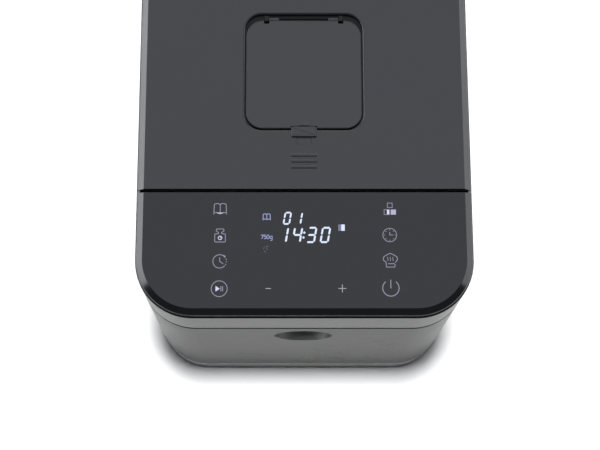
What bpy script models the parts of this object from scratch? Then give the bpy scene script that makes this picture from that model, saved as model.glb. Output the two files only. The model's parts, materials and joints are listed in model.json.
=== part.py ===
"""Bread machine: a slim upright housing with a fixed touch panel, a rear-hinged lid with an
ingredient dispenser, and a baking chamber with a lift-out pan, kneading paddle and belt drive.

Metres, +Z up. The front faces -Y. The origin is the middle of the footprint, at the feet.
"""

import math

import bmesh
import bpy
from mathutils import Matrix, Vector

# Driving dimensions.
WIDTH, DEPTH, CORNER = 0.252, 0.350, 0.0435  # outside of the metal housing, in plan
GAP = 0.0003  # left between touching pieces
FOOT_HEIGHT = 0.004
BASE_TOP = 0.030
WRAP_BOTTOM, WRAP_TOP = BASE_TOP + GAP, 0.2245
BAND_BOTTOM, BAND_TOP = 0.229, 0.2726
PLATE_BOTTOM, PLATE_TOP = BAND_TOP + GAP, 0.2773
PLATE_INSET = 0.0015  # of the black top plates from the metal below
CHAMFER_PLAN, CHAMFER_DROP = 0.0046, 0.0036
WRAP_WALL, BAND_WALL, TRAY_WALL = 0.0012, 0.0022, 0.0025

# Top plates, front to back.
PANEL_BACK, LID_FRONT = -0.0812, -0.0789
HINGE_Y, HINGE_RADIUS = 0.150, 0.006
HINGE_Z = PLATE_TOP - HINGE_RADIUS
DECK_FRONT = HINGE_Y + HINGE_RADIUS + 0.001
BARREL_END = 0.115  # half length of the lid's hinge barrel
CORNER_RELIEF = 0.0026  # how far the lid's plate stops short of the hinge line, beside the barrel
KNUCKLE_LOW, KNUCKLE_HIGH = 0.0685, 0.0775  # gap in the barrel for a hinge bracket
TOP_SPAN = (0.2, 0.3)  # heights that surely hold the top plates

# Oven, pan and drive share one upright axis. The motor stands in front of it.
OVEN_Y = 0.031
MOTOR_Y = -0.118
OVEN_HALF_X, OVEN_HALF_Y, OVEN_CORNER, OVEN_WALL = 0.083, 0.092, 0.020, 0.0008
OVEN_FLOOR, OVEN_RIM = 0.060, 0.2547
WEB_BOTTOM, WEB_TOP = OVEN_RIM + GAP, 0.2575
PAN_HALF_X, PAN_HALF_Y, PAN_CORNER, PAN_WALL = 0.066, 0.060, 0.018, 0.0012
PAN_FLOOR, PAN_RIM = 0.078, 0.226
SHAFT_RADIUS = 0.004
BORE_RADIUS = SHAFT_RADIUS + GAP
PULLEY_BOTTOM, PULLEY_TOP = 0.018, 0.030
LARGE_PULLEY_RADIUS, SMALL_PULLEY_RADIUS = 0.043, 0.0086  # under the belt
BAIL_PIVOT_Z, BAIL_REACH, BAIL_DROP = 0.219, 0.072, math.radians(15)

# Dispenser in the lid.
HATCH_HALF_X, HATCH_FRONT, HATCH_BACK, HATCH_CORNER = 0.0463, -0.0335, 0.0605, 0.015
FLAP_HALF_X, FLAP_FRONT, FLAP_BACK = 0.0440, -0.0315, 0.0555
FLAP_BOTTOM, FLAP_TOP = 0.2740, 0.2772
FLAP_HINGE_Y, FLAP_HINGE_Z = 0.0568, 0.2747
DOOR_HINGE_Y, DOOR_HINGE_Z = 0.0560, 0.2440
LATCH_HALF_X, LATCH_FRONT, LATCH_BACK, LATCH_TOP = 0.0095, -0.0385, -0.0300, 0.2795

SCOOP_Z, SCOOP_RADIUS, SCOOP_DEPTH = 0.187, 0.0225, 0.0138

CORNER_STEPS = 6
ROUND = 24
SMALL_ROUND = 14

# Third coordinate of a loft laid along another axis.
ALONG_X = Matrix(((0, 0, 1, 0), (1, 0, 0, 0), (0, 1, 0, 0), (0, 0, 0, 1)))
ALONG_Y = Matrix(((-1, 0, 0, 0), (0, 0, 1, 0), (0, 1, 0, 0), (0, 0, 0, 1)))

FINISHES = {  # colour, roughness, metallic
    "champagne_steel": ((0.23, 0.235, 0.215), 0.38, 0.9),
    "band_metal": ((0.27, 0.275, 0.265), 0.34, 0.9),
    "lid_plastic": ((0.066, 0.067, 0.071), 0.32, 0.0),
    "panel_glass": ((0.052, 0.053, 0.057), 0.18, 0.0),
    "base_plastic": ((0.13, 0.13, 0.13), 0.5, 0.0),
    "dark_plastic": ((0.02, 0.02, 0.022), 0.5, 0.0),
    "rubber": ((0.03, 0.03, 0.03), 0.8, 0.0),
    "silicone": ((0.32, 0.30, 0.28), 0.6, 0.0),
    "steel_sheet": ((0.55, 0.55, 0.54), 0.35, 1.0),
    "turned_steel": ((0.6, 0.6, 0.6), 0.25, 1.0),
    "nonstick": ((0.05, 0.05, 0.052), 0.45, 0.2),
    "cast_aluminium": ((0.5, 0.5, 0.5), 0.5, 1.0),
    "element_metal": ((0.10, 0.09, 0.085), 0.5, 0.8),
    "bronze": ((0.5, 0.35, 0.18), 0.4, 1.0),
    "board": ((0.02, 0.12, 0.05), 0.5, 0.0),
    "glass_black": ((0.01, 0.01, 0.012), 0.1, 0.0),
    "nylon": ((0.75, 0.74, 0.70), 0.5, 0.0),
}


def clear_scene():
    for old in list(bpy.data.objects):
        bpy.data.objects.remove(old)


def finish(name):
    found = bpy.data.materials.get(name)
    if found:
        return found
    colour, roughness, metallic = FINISHES[name]
    made = bpy.data.materials.new(name)
    made.use_nodes = True
    shader = made.node_tree.nodes["Principled BSDF"]
    shader.inputs["Base Color"].default_value = (*colour, 1)
    shader.inputs["Roughness"].default_value = roughness
    shader.inputs["Metallic"].default_value = metallic
    made.diffuse_color = (*colour, 1)
    return made


# Outlines, in plan.


def rounded(half_x, y_low, y_high, radius, inset=0.0):
    """A rectangle with round corners, counter-clockwise, moved inwards by inset."""
    half_x, y_low, y_high = half_x - inset, y_low + inset, y_high - inset
    radius = max(radius - inset, 0.0005)
    centres = (
        (radius - half_x, y_low + radius, 180),
        (half_x - radius, y_low + radius, 270),
        (half_x - radius, y_high - radius, 0),
        (radius - half_x, y_high - radius, 90),
    )
    points = []
    for x, y, start in centres:
        for step in range(CORNER_STEPS + 1):
            angle = math.radians(start + 90 * step / CORNER_STEPS)
            points.append((x + radius * math.cos(angle), y + radius * math.sin(angle)))
    return points


def housing_outline(inset=0.0):
    return rounded(WIDTH / 2, -DEPTH / 2, DEPTH / 2, CORNER, inset)


def oven_outline(inset=0.0):
    return rounded(OVEN_HALF_X, OVEN_Y - OVEN_HALF_Y, OVEN_Y + OVEN_HALF_Y, OVEN_CORNER, inset)


def pan_outline(inset=0.0):
    return rounded(PAN_HALF_X, OVEN_Y - PAN_HALF_Y, OVEN_Y + PAN_HALF_Y, PAN_CORNER, inset)


def hatch_outline(inset=0.0):
    return rounded(HATCH_HALF_X, HATCH_FRONT, HATCH_BACK, HATCH_CORNER, inset)


def circle(radius, x=0.0, y=0.0, sides=ROUND):
    turn = 2 * math.pi / sides
    return [(x + radius * math.cos(i * turn), y + radius * math.sin(i * turn)) for i in range(sides)]


def belt_outline(offset):
    """Round both pulleys: two arcs joined by their outer tangents."""
    large, small = LARGE_PULLEY_RADIUS + offset, SMALL_PULLEY_RADIUS + offset
    lean = math.asin((large - small) / (OVEN_Y - MOTOR_Y))
    points = []
    for centre, radius, start, end in (
        (OVEN_Y, large, -lean, math.pi + lean),
        (MOTOR_Y, small, math.pi + lean, 2 * math.pi - lean),
    ):
        for step in range(ROUND + 1):
            angle = start + (end - start) * step / ROUND
            points.append((radius * math.cos(angle), centre + radius * math.sin(angle)))
    return points


# Solids.


def add_loft(mesh, rings, closed=False, place=Matrix()):
    """A skin through rings of (outline, height). Open ends are capped, a closed run has none."""
    loops = []
    for outline, height in rings:
        loops.append([mesh.verts.new(place @ Vector((x, y, height))) for x, y in outline])
    pairs = list(zip(loops, loops[1:]))
    if closed:
        pairs.append((loops[-1], loops[0]))
    else:
        mesh.faces.new(loops[0])
        mesh.faces.new(loops[-1])
    for lower, upper in pairs:
        for i, corner in enumerate(lower):
            j = (i + 1) % len(lower)
            mesh.faces.new((corner, lower[j], upper[j], upper[i]))


def add_box(mesh, low, high):
    corners = [(low[0], low[1]), (high[0], low[1]), (high[0], high[1]), (low[0], high[1])]
    add_loft(mesh, [(corners, low[2]), (corners, high[2])])


def add_rod(mesh, radius, start, end, place=Matrix(), centre=(0.0, 0.0), sides=SMALL_ROUND):
    """A round rod from start to end along the placed axis, centred across it."""
    outline = circle(radius, *centre, sides)
    add_loft(mesh, [(outline, start), (outline, end)], place=place)


def new_object(name, mesh, finish_name=None):
    bmesh.ops.recalc_face_normals(mesh, faces=mesh.faces)
    data = bpy.data.meshes.new(name)
    mesh.to_mesh(data)
    mesh.free()
    made = bpy.data.objects.new(name, data)
    bpy.context.scene.collection.objects.link(made)
    if finish_name:
        data.materials.append(finish(finish_name))
        data.shade_smooth()
        data.set_sharp_from_angle(angle=math.radians(35))
    return made


def loft(name, finish_name, rings, closed=False, place=Matrix()):
    mesh = bmesh.new()
    add_loft(mesh, rings, closed, place)
    return new_object(name, mesh, finish_name)


def box(name, finish_name, low, high):
    mesh = bmesh.new()
    add_box(mesh, low, high)
    return new_object(name, mesh, finish_name)


def turned(name, finish_name, profile, centre=(0.0, 0.0), closed=False, place=Matrix(), sides=ROUND):
    """A round solid from a profile of (radius, height)."""
    rings = [(circle(radius, *centre, sides), height) for radius, height in profile]
    return loft(name, finish_name, rings, closed, place)


def helper(name, add, *shapes):
    """A hidden solid of several shapes, each a tuple of arguments for add."""
    mesh = bmesh.new()
    for shape in shapes:
        add(mesh, *shape)
    made = new_object(name, mesh)
    made.hide_render = True
    made.display_type = "WIRE"
    return made


def combine(target, operation, tool):
    change = target.modifiers.new(f"{operation.title()} {tool.name}", "BOOLEAN")
    change.operation = operation
    change.object = tool


def cut(target, add, *shapes):
    tool = helper(f"{target.name}_cut_{len(target.modifiers)}", add, *shapes)
    combine(target, "DIFFERENCE", tool)


def fuse_box(target, *corners):
    """Joins boxes, given as low, high, low, high, to the target."""
    for low, high in zip(corners[::2], corners[1::2]):
        tool = helper(f"{target.name}_add_{len(target.modifiers)}", add_box, (low, high))
        combine(target, "UNION", tool)


def fuse_loft(target, rings, place=Matrix()):
    tool = helper(f"{target.name}_add_{len(target.modifiers)}", add_loft, (rings, False, place))
    combine(target, "UNION", tool)


def both_sides(low, high):
    """The box low to high, and its mirror image in x."""
    return (low, high), ((-high[0], low[1], low[2]), (-low[0], high[1], high[2]))


def wire(name, finish_name, points, radius):
    """A round wire along points, with flat ends."""
    data = bpy.data.curves.new(name, "CURVE")
    data.dimensions = "3D"
    data.bevel_depth = radius
    data.bevel_resolution = 2
    data.use_fill_caps = True
    data.materials.append(finish(finish_name))
    spline = data.splines.new("POLY")
    spline.points.add(len(points) - 1)
    for knot, point in zip(spline.points, points):
        knot.co = (*point, 1)
    made = bpy.data.objects.new(name, data)
    bpy.context.scene.collection.objects.link(made)
    return made


def bent(corners, radius, steps=4):
    """The open path through corners, in 3D, with each inner corner rounded."""
    corners = [Vector(corner) for corner in corners]
    path = [corners[0]]
    for before, corner, after in zip(corners, corners[1:], corners[2:]):
        to_before, to_after = (before - corner).normalized(), (after - corner).normalized()
        half = to_before.angle(to_after) / 2
        reach = radius / math.tan(half)
        centre = corner + (to_before + to_after).normalized() * radius / math.sin(half)
        start = (corner + to_before * reach - centre).normalized()
        end = (corner + to_after * reach - centre).normalized()
        for step in range(steps + 1):
            path.append(centre + radius * start.slerp(end, step / steps))
    path.append(corners[-1])
    return path


def joint_empty(name, place):
    made = bpy.data.objects.new(name, None)
    made.location = place
    bpy.context.scene.collection.objects.link(made)
    return made


def carry(empty, *pieces):
    """Gives each piece its origin on the joint's axis, and parents it to the joint's empty."""
    for piece in pieces:
        piece.data.transform(Matrix.Translation(-empty.location))
        piece.parent = empty


# Housing.


def make_base():
    floor = FOOT_HEIGHT + 0.003
    tray = loft(
        "base_tray",
        "base_plastic",
        [
            (housing_outline(0.0030), FOOT_HEIGHT),
            (housing_outline(0.0006), FOOT_HEIGHT + 0.0024),
            (housing_outline(0.0006), BASE_TOP),
            (housing_outline(TRAY_WALL), BASE_TOP),
            (housing_outline(TRAY_WALL), floor),
        ],
    )
    slots = []
    for row in range(-3, 4):
        y = OVEN_Y + 0.014 * row
        slots += both_sides((0.054, y - 0.002, 0.0), (0.074, y + 0.002, floor + 0.01))
    cut(tray, add_box, *slots)
    for side, x in (("left", -0.088), ("right", 0.088)):
        for end, y in (("front", -0.132), ("rear", 0.132)):
            turned(
                f"foot_{end}_{side}",
                "rubber",
                [(0.0085, 0.0), (0.0100, 0.0008), (0.0100, FOOT_HEIGHT - GAP)],
                (x, y),
                sides=SMALL_ROUND,
            )
            screw_y = y * 0.78
            stepped = ((0.0037, 0.0), (0.0037, 0.0060), (0.0019, 0.0060), (0.0019, 0.0120))
            cut(tray, add_loft, ([(circle(radius, x, screw_y, 16), z) for radius, z in stepped],))
            turned(
                f"base_screw_{end}_{side}",
                "turned_steel",
                [(0.0034, 0.0043), (0.0034, 0.0057), (0.0016, 0.0057), (0.0016, 0.0140)],
                (x, screw_y),
                sides=16,
            )


def make_wrap():
    wrap = loft(
        "body_wrap",
        "champagne_steel",
        [
            (housing_outline(), WRAP_BOTTOM),
            (housing_outline(), WRAP_TOP),
            (housing_outline(WRAP_WALL), WRAP_TOP),
            (housing_outline(WRAP_WALL), WRAP_BOTTOM),
        ],
        closed=True,
    )
    hole = [(circle(SCOOP_RADIUS, 0, SCOOP_Z), y) for y in (-0.18, -0.16)]
    cut(wrap, add_loft, (hole, False, ALONG_Y))
    slots = []
    for row in range(6):
        z = 0.052 + 0.009 * row
        slots += both_sides((0.115, 0.020, z), (0.135, 0.085, z + 0.0035))
        slots.append(((-0.060, 0.165, z + 0.110), (0.060, 0.180, z + 0.1135)))
    cut(wrap, add_box, *slots)
    inlet_x, inlet_z, inlet_radius = -0.060, 0.060, 0.0115
    outer = circle(inlet_radius + GAP, inlet_x, inlet_z, SMALL_ROUND)
    cut(wrap, add_loft, ([(outer, y) for y in (0.16, 0.18)], False, ALONG_Y))
    turned(
        "cord_inlet",
        "dark_plastic",
        [
            (inlet_radius, 0.1748),
            (0.0085, 0.1748),
            (0.0045, 0.1715),
            (0.0045, 0.1620),
            (0.0140, 0.1620),
            (0.0140, 0.1733),
            (inlet_radius, 0.1733),
        ],
        (inlet_x, inlet_z),
        closed=True,
        place=ALONG_Y,
        sides=SMALL_ROUND,
    )


def make_scoop():
    """A dished finger cup behind the round hole in the front, opening to -Y."""
    wall, rim = 0.0012, SCOOP_RADIUS - GAP
    front = -DEPTH / 2
    steps = 4
    inside, outside = [], []
    for step in range(steps + 1):
        turn = math.radians(80 * step / steps)
        inside.append(((rim - 0.0008) * math.cos(turn), front + GAP + SCOOP_DEPTH * math.sin(turn)))
        outside.append((inside[-1][0] + wall, inside[-1][1] + wall))
    shoulder = front + WRAP_WALL + GAP
    profile = [
        *reversed(inside),
        (rim, front + GAP),
        (rim, shoulder),
        (0.0260, shoulder),
        (0.0260, shoulder + wall),
        (0.0238, shoulder + 2 * wall),
        *[point for point in outside if point[1] > shoulder + 2 * wall],
    ]
    turned("scoop_cup", "champagne_steel", profile, (0, SCOOP_Z), place=ALONG_Y)


def make_upper_frame():
    frame = loft(
        "upper_frame",
        "band_metal",
        [
            (housing_outline(), BAND_BOTTOM),
            (housing_outline(), BAND_TOP),
            (housing_outline(BAND_WALL), BAND_TOP),
            (housing_outline(BAND_WALL), BAND_BOTTOM),
        ],
        closed=True,
    )
    web = [(housing_outline(BAND_WALL / 2), z) for z in (WEB_BOTTOM, WEB_TOP)]
    posts = []
    for x in (-0.088, 0.088):
        for y in (-0.148, -0.100):
            posts.append([(circle(0.0035, x, y, 12), z) for z in (WEB_BOTTOM, 0.2657)])
    fuse_loft(frame, web)
    divider_x, divider_front = 0.113, PANEL_BACK - 0.0020
    divider = [
        (-divider_x, divider_front),
        (divider_x, divider_front),
        (divider_x, PANEL_BACK),
        (-divider_x, PANEL_BACK),
    ]
    for rings in ([(divider, WEB_BOTTOM), (divider, 0.2715)], *posts):
        fuse_loft(frame, rings)
    opening = [(oven_outline(OVEN_WALL), z) for z in (WEB_BOTTOM - 0.01, WEB_TOP + 0.01)]
    bay = rounded(0.070, -0.158, -0.094, 0.008)
    cut(frame, add_loft, (opening,), ([(bay, z) for z in (WEB_BOTTOM - 0.01, WEB_TOP + 0.003)],))
    loft(
        "joint_collar",
        "dark_plastic",
        [
            (housing_outline(0.0016), 0.2160),
            (housing_outline(0.0016), BAND_BOTTOM - GAP),
            (housing_outline(0.0036), BAND_BOTTOM - GAP),
            (housing_outline(0.0036), 0.2160),
        ],
        closed=True,
    )


def top_plate(name, finish_name, y_low, y_high):
    """The stretch from y_low to y_high of the black top, whose outer edge is chamfered."""
    edge = PLATE_INSET
    plate = loft(
        name,
        finish_name,
        [
            (housing_outline(edge), PLATE_BOTTOM),
            (housing_outline(edge), PLATE_TOP - CHAMFER_DROP),
            (housing_outline(edge + CHAMFER_PLAN), PLATE_TOP),
        ],
    )
    low, high = TOP_SPAN
    slice_box = helper(f"{name}_slice", add_box, ((-WIDTH, y_low, low), (WIDTH, y_high, high)))
    combine(plate, "INTERSECT", slice_box)
    return plate


def make_panel():
    top_plate("control_panel", "panel_glass", -DEPTH, PANEL_BACK)
    board = box("touch_board", "board", (-0.095, -0.156, 0.2660), (0.095, -0.092, 0.2676))
    fuse_box(board, (0.030, -0.150, 0.2630), (0.060, -0.120, 0.2665))
    box("display_module", "glass_black", (-0.026, -0.126, 0.2679), (0.034, -0.094, PLATE_BOTTOM - GAP))
    deck = top_plate("rear_deck", "lid_plastic", DECK_FRONT, DEPTH)
    slot_half_x, slot_front, slot_back, slot_pitch = 0.008, 0.1625, 0.1655, 0.022
    low, high = TOP_SPAN
    slots = [
        ((x - slot_half_x, slot_front, low), (x + slot_half_x, slot_back, high))
        for x in (step * slot_pitch for step in range(-2, 3))
    ]
    cut(deck, add_box, *slots)


def make_hinges():
    for side, sign in (("left", -1), ("right", 1)):
        x_low, x_high = sorted((sign * 0.0690, sign * 0.0770))
        bracket = turned(
            f"hinge_bracket_{side}",
            "steel_sheet",
            [(0.0052, x_low), (0.0052, x_high)],
            (HINGE_Y, HINGE_Z),
            place=ALONG_X,
            sides=SMALL_ROUND,
        )
        fuse_box(
            bracket,
            (x_low, HINGE_Y - 0.001, HINGE_Z - 0.010),
            (x_high, HINGE_Y + 0.0035, HINGE_Z),
            (x_low, HINGE_Y - 0.001, WEB_TOP + GAP),
            (x_high, HINGE_Y + 0.016, WEB_TOP + 0.0040),
        )
        bore = circle(0.0023, HINGE_Y, HINGE_Z, SMALL_ROUND)
        cut(bracket, add_loft, ([(bore, x_low - 0.01), (bore, x_high + 0.01)], False, ALONG_X))
        ends = sorted((sign * 0.0560, sign * 0.0860))
        turned(
            f"hinge_pin_{side}",
            "turned_steel",
            [(0.0019, ends[0]), (0.0019, ends[1])],
            (HINGE_Y, HINGE_Z),
            place=ALONG_X,
            sides=SMALL_ROUND,
        )


# Oven and drive.


def make_oven():
    flange = 0.006
    oven = loft(
        "baking_chamber",
        "steel_sheet",
        [
            (oven_outline(), OVEN_FLOOR),
            (oven_outline(), OVEN_RIM - OVEN_WALL),
            (oven_outline(-flange), OVEN_RIM - OVEN_WALL),
            (oven_outline(-flange), OVEN_RIM),
            (oven_outline(OVEN_WALL), OVEN_RIM),
            (oven_outline(OVEN_WALL), OVEN_FLOOR + OVEN_WALL),
        ],
    )
    front = OVEN_Y - OVEN_HALF_Y
    cut(oven, add_rod, (0.012, OVEN_FLOOR - 0.01, OVEN_FLOOR + 0.01, Matrix(), (0, OVEN_Y)))
    element_x, element_z, probe_x, probe_z = 0.030, 0.090, -0.055, 0.130
    cut(
        oven,
        add_rod,
        (0.0046, front - 0.004, front + 0.004, ALONG_Y, (element_x, element_z)),
        (0.0046, front - 0.004, front + 0.004, ALONG_Y, (-element_x, element_z)),
        (0.0032, front - 0.004, front + 0.004, ALONG_Y, (-probe_x, probe_z)),
    )
    inner, back, near = 0.075, OVEN_Y + 0.083, OVEN_Y - 0.083
    loop = bent(
        [
            (-element_x, front - 0.014, element_z),
            (-element_x, near, element_z),
            (-inner, near, element_z),
            (-inner, back, element_z),
            (inner, back, element_z),
            (inner, near, element_z),
            (element_x, near, element_z),
            (element_x, front - 0.014, element_z),
        ],
        0.0085,
    )
    wire("heating_element", "element_metal", loop, 0.0033)
    turned(
        "temperature_probe",
        "turned_steel",
        [
            (0.0025, front + 0.013),
            (0.0025, front - GAP),
            (0.0060, front - GAP),
            (0.0060, front - 0.004),
            (0.0030, front - 0.004),
            (0.0030, front - 0.012),
        ],
        (-probe_x, probe_z),
        place=ALONG_Y,
        sides=SMALL_ROUND,
    )
    fuse_body = turned(
        "thermal_fuse",
        "nylon",
        [(0.0028, 0.034), (0.0028, 0.056)],
        (front - 0.0035, 0.170),
        place=ALONG_X,
        sides=16,
    )
    fuse_box(fuse_body, (0.040, front - 0.0062, 0.163), (0.050, front - GAP, 0.177))
    ring = turned(
        "pan_seat",
        "cast_aluminium",
        [
            (0.0450, 0.0611),
            (0.0540, 0.0611),
            (0.0540, 0.0635),
            (0.0495, 0.0635),
            (0.0495, 0.0745),
            (0.0450, 0.0745),
        ],
        (0, OVEN_Y),
        closed=True,
    )
    cut(ring, add_box, ((-0.006, OVEN_Y - 0.06, 0.068), (0.006, OVEN_Y + 0.06, 0.08)))
    for side, sign in (("left", -1), ("right", 1)):
        low, high = sorted((sign * 0.0700, sign * 0.0715))
        leg = box(
            f"chamber_support_{side}",
            "steel_sheet",
            (low, OVEN_Y - 0.060, 0.0073),
            (high, OVEN_Y + 0.060, OVEN_FLOOR - GAP),
        )
        foot_low, foot_high = sorted((sign * 0.0700, sign * 0.0800))
        fuse_box(leg, (foot_low, OVEN_Y - 0.060, 0.0073), (foot_high, OVEN_Y + 0.060, 0.0088))
    turned(
        "shaft_housing",
        "cast_aluminium",
        [
            (0.0078, 0.0360),
            (0.0125, 0.0360),
            (0.0135, 0.0560),
            (0.0260, 0.0567),
            (0.0260, 0.0597),
            (0.0078, 0.0597),
        ],
        (0, OVEN_Y),
        closed=True,
    )
    turned(
        "shaft_bearing",
        "bronze",
        [(BORE_RADIUS, 0.038), (0.0075, 0.038), (0.0075, 0.058), (BORE_RADIUS, 0.058)],
        (0, OVEN_Y),
        closed=True,
        sides=SMALL_ROUND,
    )


def pulley(name, finish_name, y, belt_radius, web_radius, bore):
    """A flanged belt pulley. A wide one has a thin web between its hub and its rim."""
    lip = belt_radius + 0.002
    outside = [
        (lip, PULLEY_BOTTOM),
        (lip, PULLEY_BOTTOM + 0.0010),
        (belt_radius, PULLEY_BOTTOM + 0.0020),
        (belt_radius, PULLEY_TOP - 0.0020),
        (lip, PULLEY_TOP - 0.0010),
        (lip, PULLEY_TOP),
    ]
    profile = [(bore, PULLEY_BOTTOM), *outside, (bore, PULLEY_TOP)]
    if web_radius:
        hub, web_low, web_high = 0.010, PULLEY_BOTTOM + 0.004, PULLEY_TOP - 0.004
        profile = [
            (bore, PULLEY_BOTTOM),
            (hub, PULLEY_BOTTOM),
            (hub, web_low),
            (web_radius, web_low),
            (web_radius, PULLEY_BOTTOM),
            *outside,
            (web_radius, PULLEY_TOP),
            (web_radius, web_high),
            (hub, web_high),
            (hub, PULLEY_TOP),
            (bore, PULLEY_TOP),
        ]
    return turned(name, finish_name, profile, (0, y), closed=True)


def make_drive():
    axis = joint_empty("drive_axis", (0, OVEN_Y, 0))
    shaft = turned(
        "drive_shaft",
        "turned_steel",
        [(SHAFT_RADIUS, 0.0165), (SHAFT_RADIUS, 0.0645)],
        (0, OVEN_Y),
        sides=SMALL_ROUND,
    )
    large = pulley("large_pulley", "nylon", OVEN_Y, LARGE_PULLEY_RADIUS, 0.038, BORE_RADIUS)
    spokes = []
    for turn in range(5):
        angle = math.radians(72 * turn)
        centre = (0.024 * math.cos(angle), OVEN_Y + 0.024 * math.sin(angle))
        spokes.append((0.0085, 0.0, 0.05, Matrix(), centre, 10))
    cut(large, add_rod, *spokes)
    coupling = turned(
        "drive_coupling",
        "cast_aluminium",
        [(BORE_RADIUS, 0.0618), (0.0145, 0.0618), (0.0145, 0.0642), (BORE_RADIUS, 0.0642)],
        (0, OVEN_Y),
        closed=True,
    )
    for low, high in both_sides((0.0095, OVEN_Y - 0.004, 0.0625), (0.0138, OVEN_Y + 0.004, 0.0695)):
        fuse_box(coupling, low, high)
    carry(axis, shaft, large, coupling)

    motor_axis = joint_empty("motor_axis", (0, MOTOR_Y, 0))
    motor_shaft = turned(
        "motor_shaft", "turned_steel", [(0.0025, 0.0165), (0.0025, 0.068)], (0, MOTOR_Y), sides=SMALL_ROUND
    )
    small = pulley("motor_pulley", "nylon", MOTOR_Y, SMALL_PULLEY_RADIUS, None, 0.0028)
    carry(motor_axis, motor_shaft, small)
    loft(
        "drive_belt",
        "rubber",
        [
            (belt_outline(GAP), PULLEY_BOTTOM + 0.0026),
            (belt_outline(0.0015), PULLEY_BOTTOM + 0.0026),
            (belt_outline(0.0015), PULLEY_TOP - 0.0026),
            (belt_outline(GAP), PULLEY_TOP - 0.0026),
        ],
        closed=True,
    )
    turned(
        "motor",
        "steel_sheet",
        [
            (0.0029, 0.0700),
            (0.0029, 0.0598),
            (0.0100, 0.0598),
            (0.0100, 0.0620),
            (0.0320, 0.0620),
            (0.0330, 0.0640),
            (0.0330, 0.1160),
            (0.0320, 0.1180),
            (0.0090, 0.1180),
            (0.0090, 0.1220),
        ],
        (0, MOTOR_Y),
    )
    bracket = box("motor_bracket", "steel_sheet", (-0.048, -0.160, 0.0575), (0.048, -0.078, 0.0595))
    for low, high in both_sides((0.0465, -0.160, 0.0073), (0.0480, -0.078, 0.0585)):
        fuse_box(bracket, low, high)
    cut(bracket, add_rod, (0.006, 0.05, 0.07, Matrix(), (0, MOTOR_Y)))


def make_electrics():
    turned(
        "motor_capacitor",
        "nylon",
        [(0.0150, 0.0073), (0.0150, 0.0540), (0.0135, 0.0560)],
        (0.074, -0.120),
        sides=SMALL_ROUND,
    )
    board = box("power_board", "board", (-0.1060, -0.050, 0.0073), (-0.1044, 0.070, 0.175))
    fuse_box(
        board,
        (-0.1055, -0.040, 0.120),
        (-0.0900, -0.005, 0.150),
        (-0.1055, 0.005, 0.125),
        (-0.0935, 0.025, 0.145),
        (-0.1055, 0.035, 0.100),
        (-0.0890, 0.060, 0.160),
        (-0.1055, -0.040, 0.070),
        (-0.0960, 0.020, 0.090),
        (-0.1160, -0.050, 0.0073),
        (-0.1050, 0.070, 0.0090),
    )


# Lid.


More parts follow.
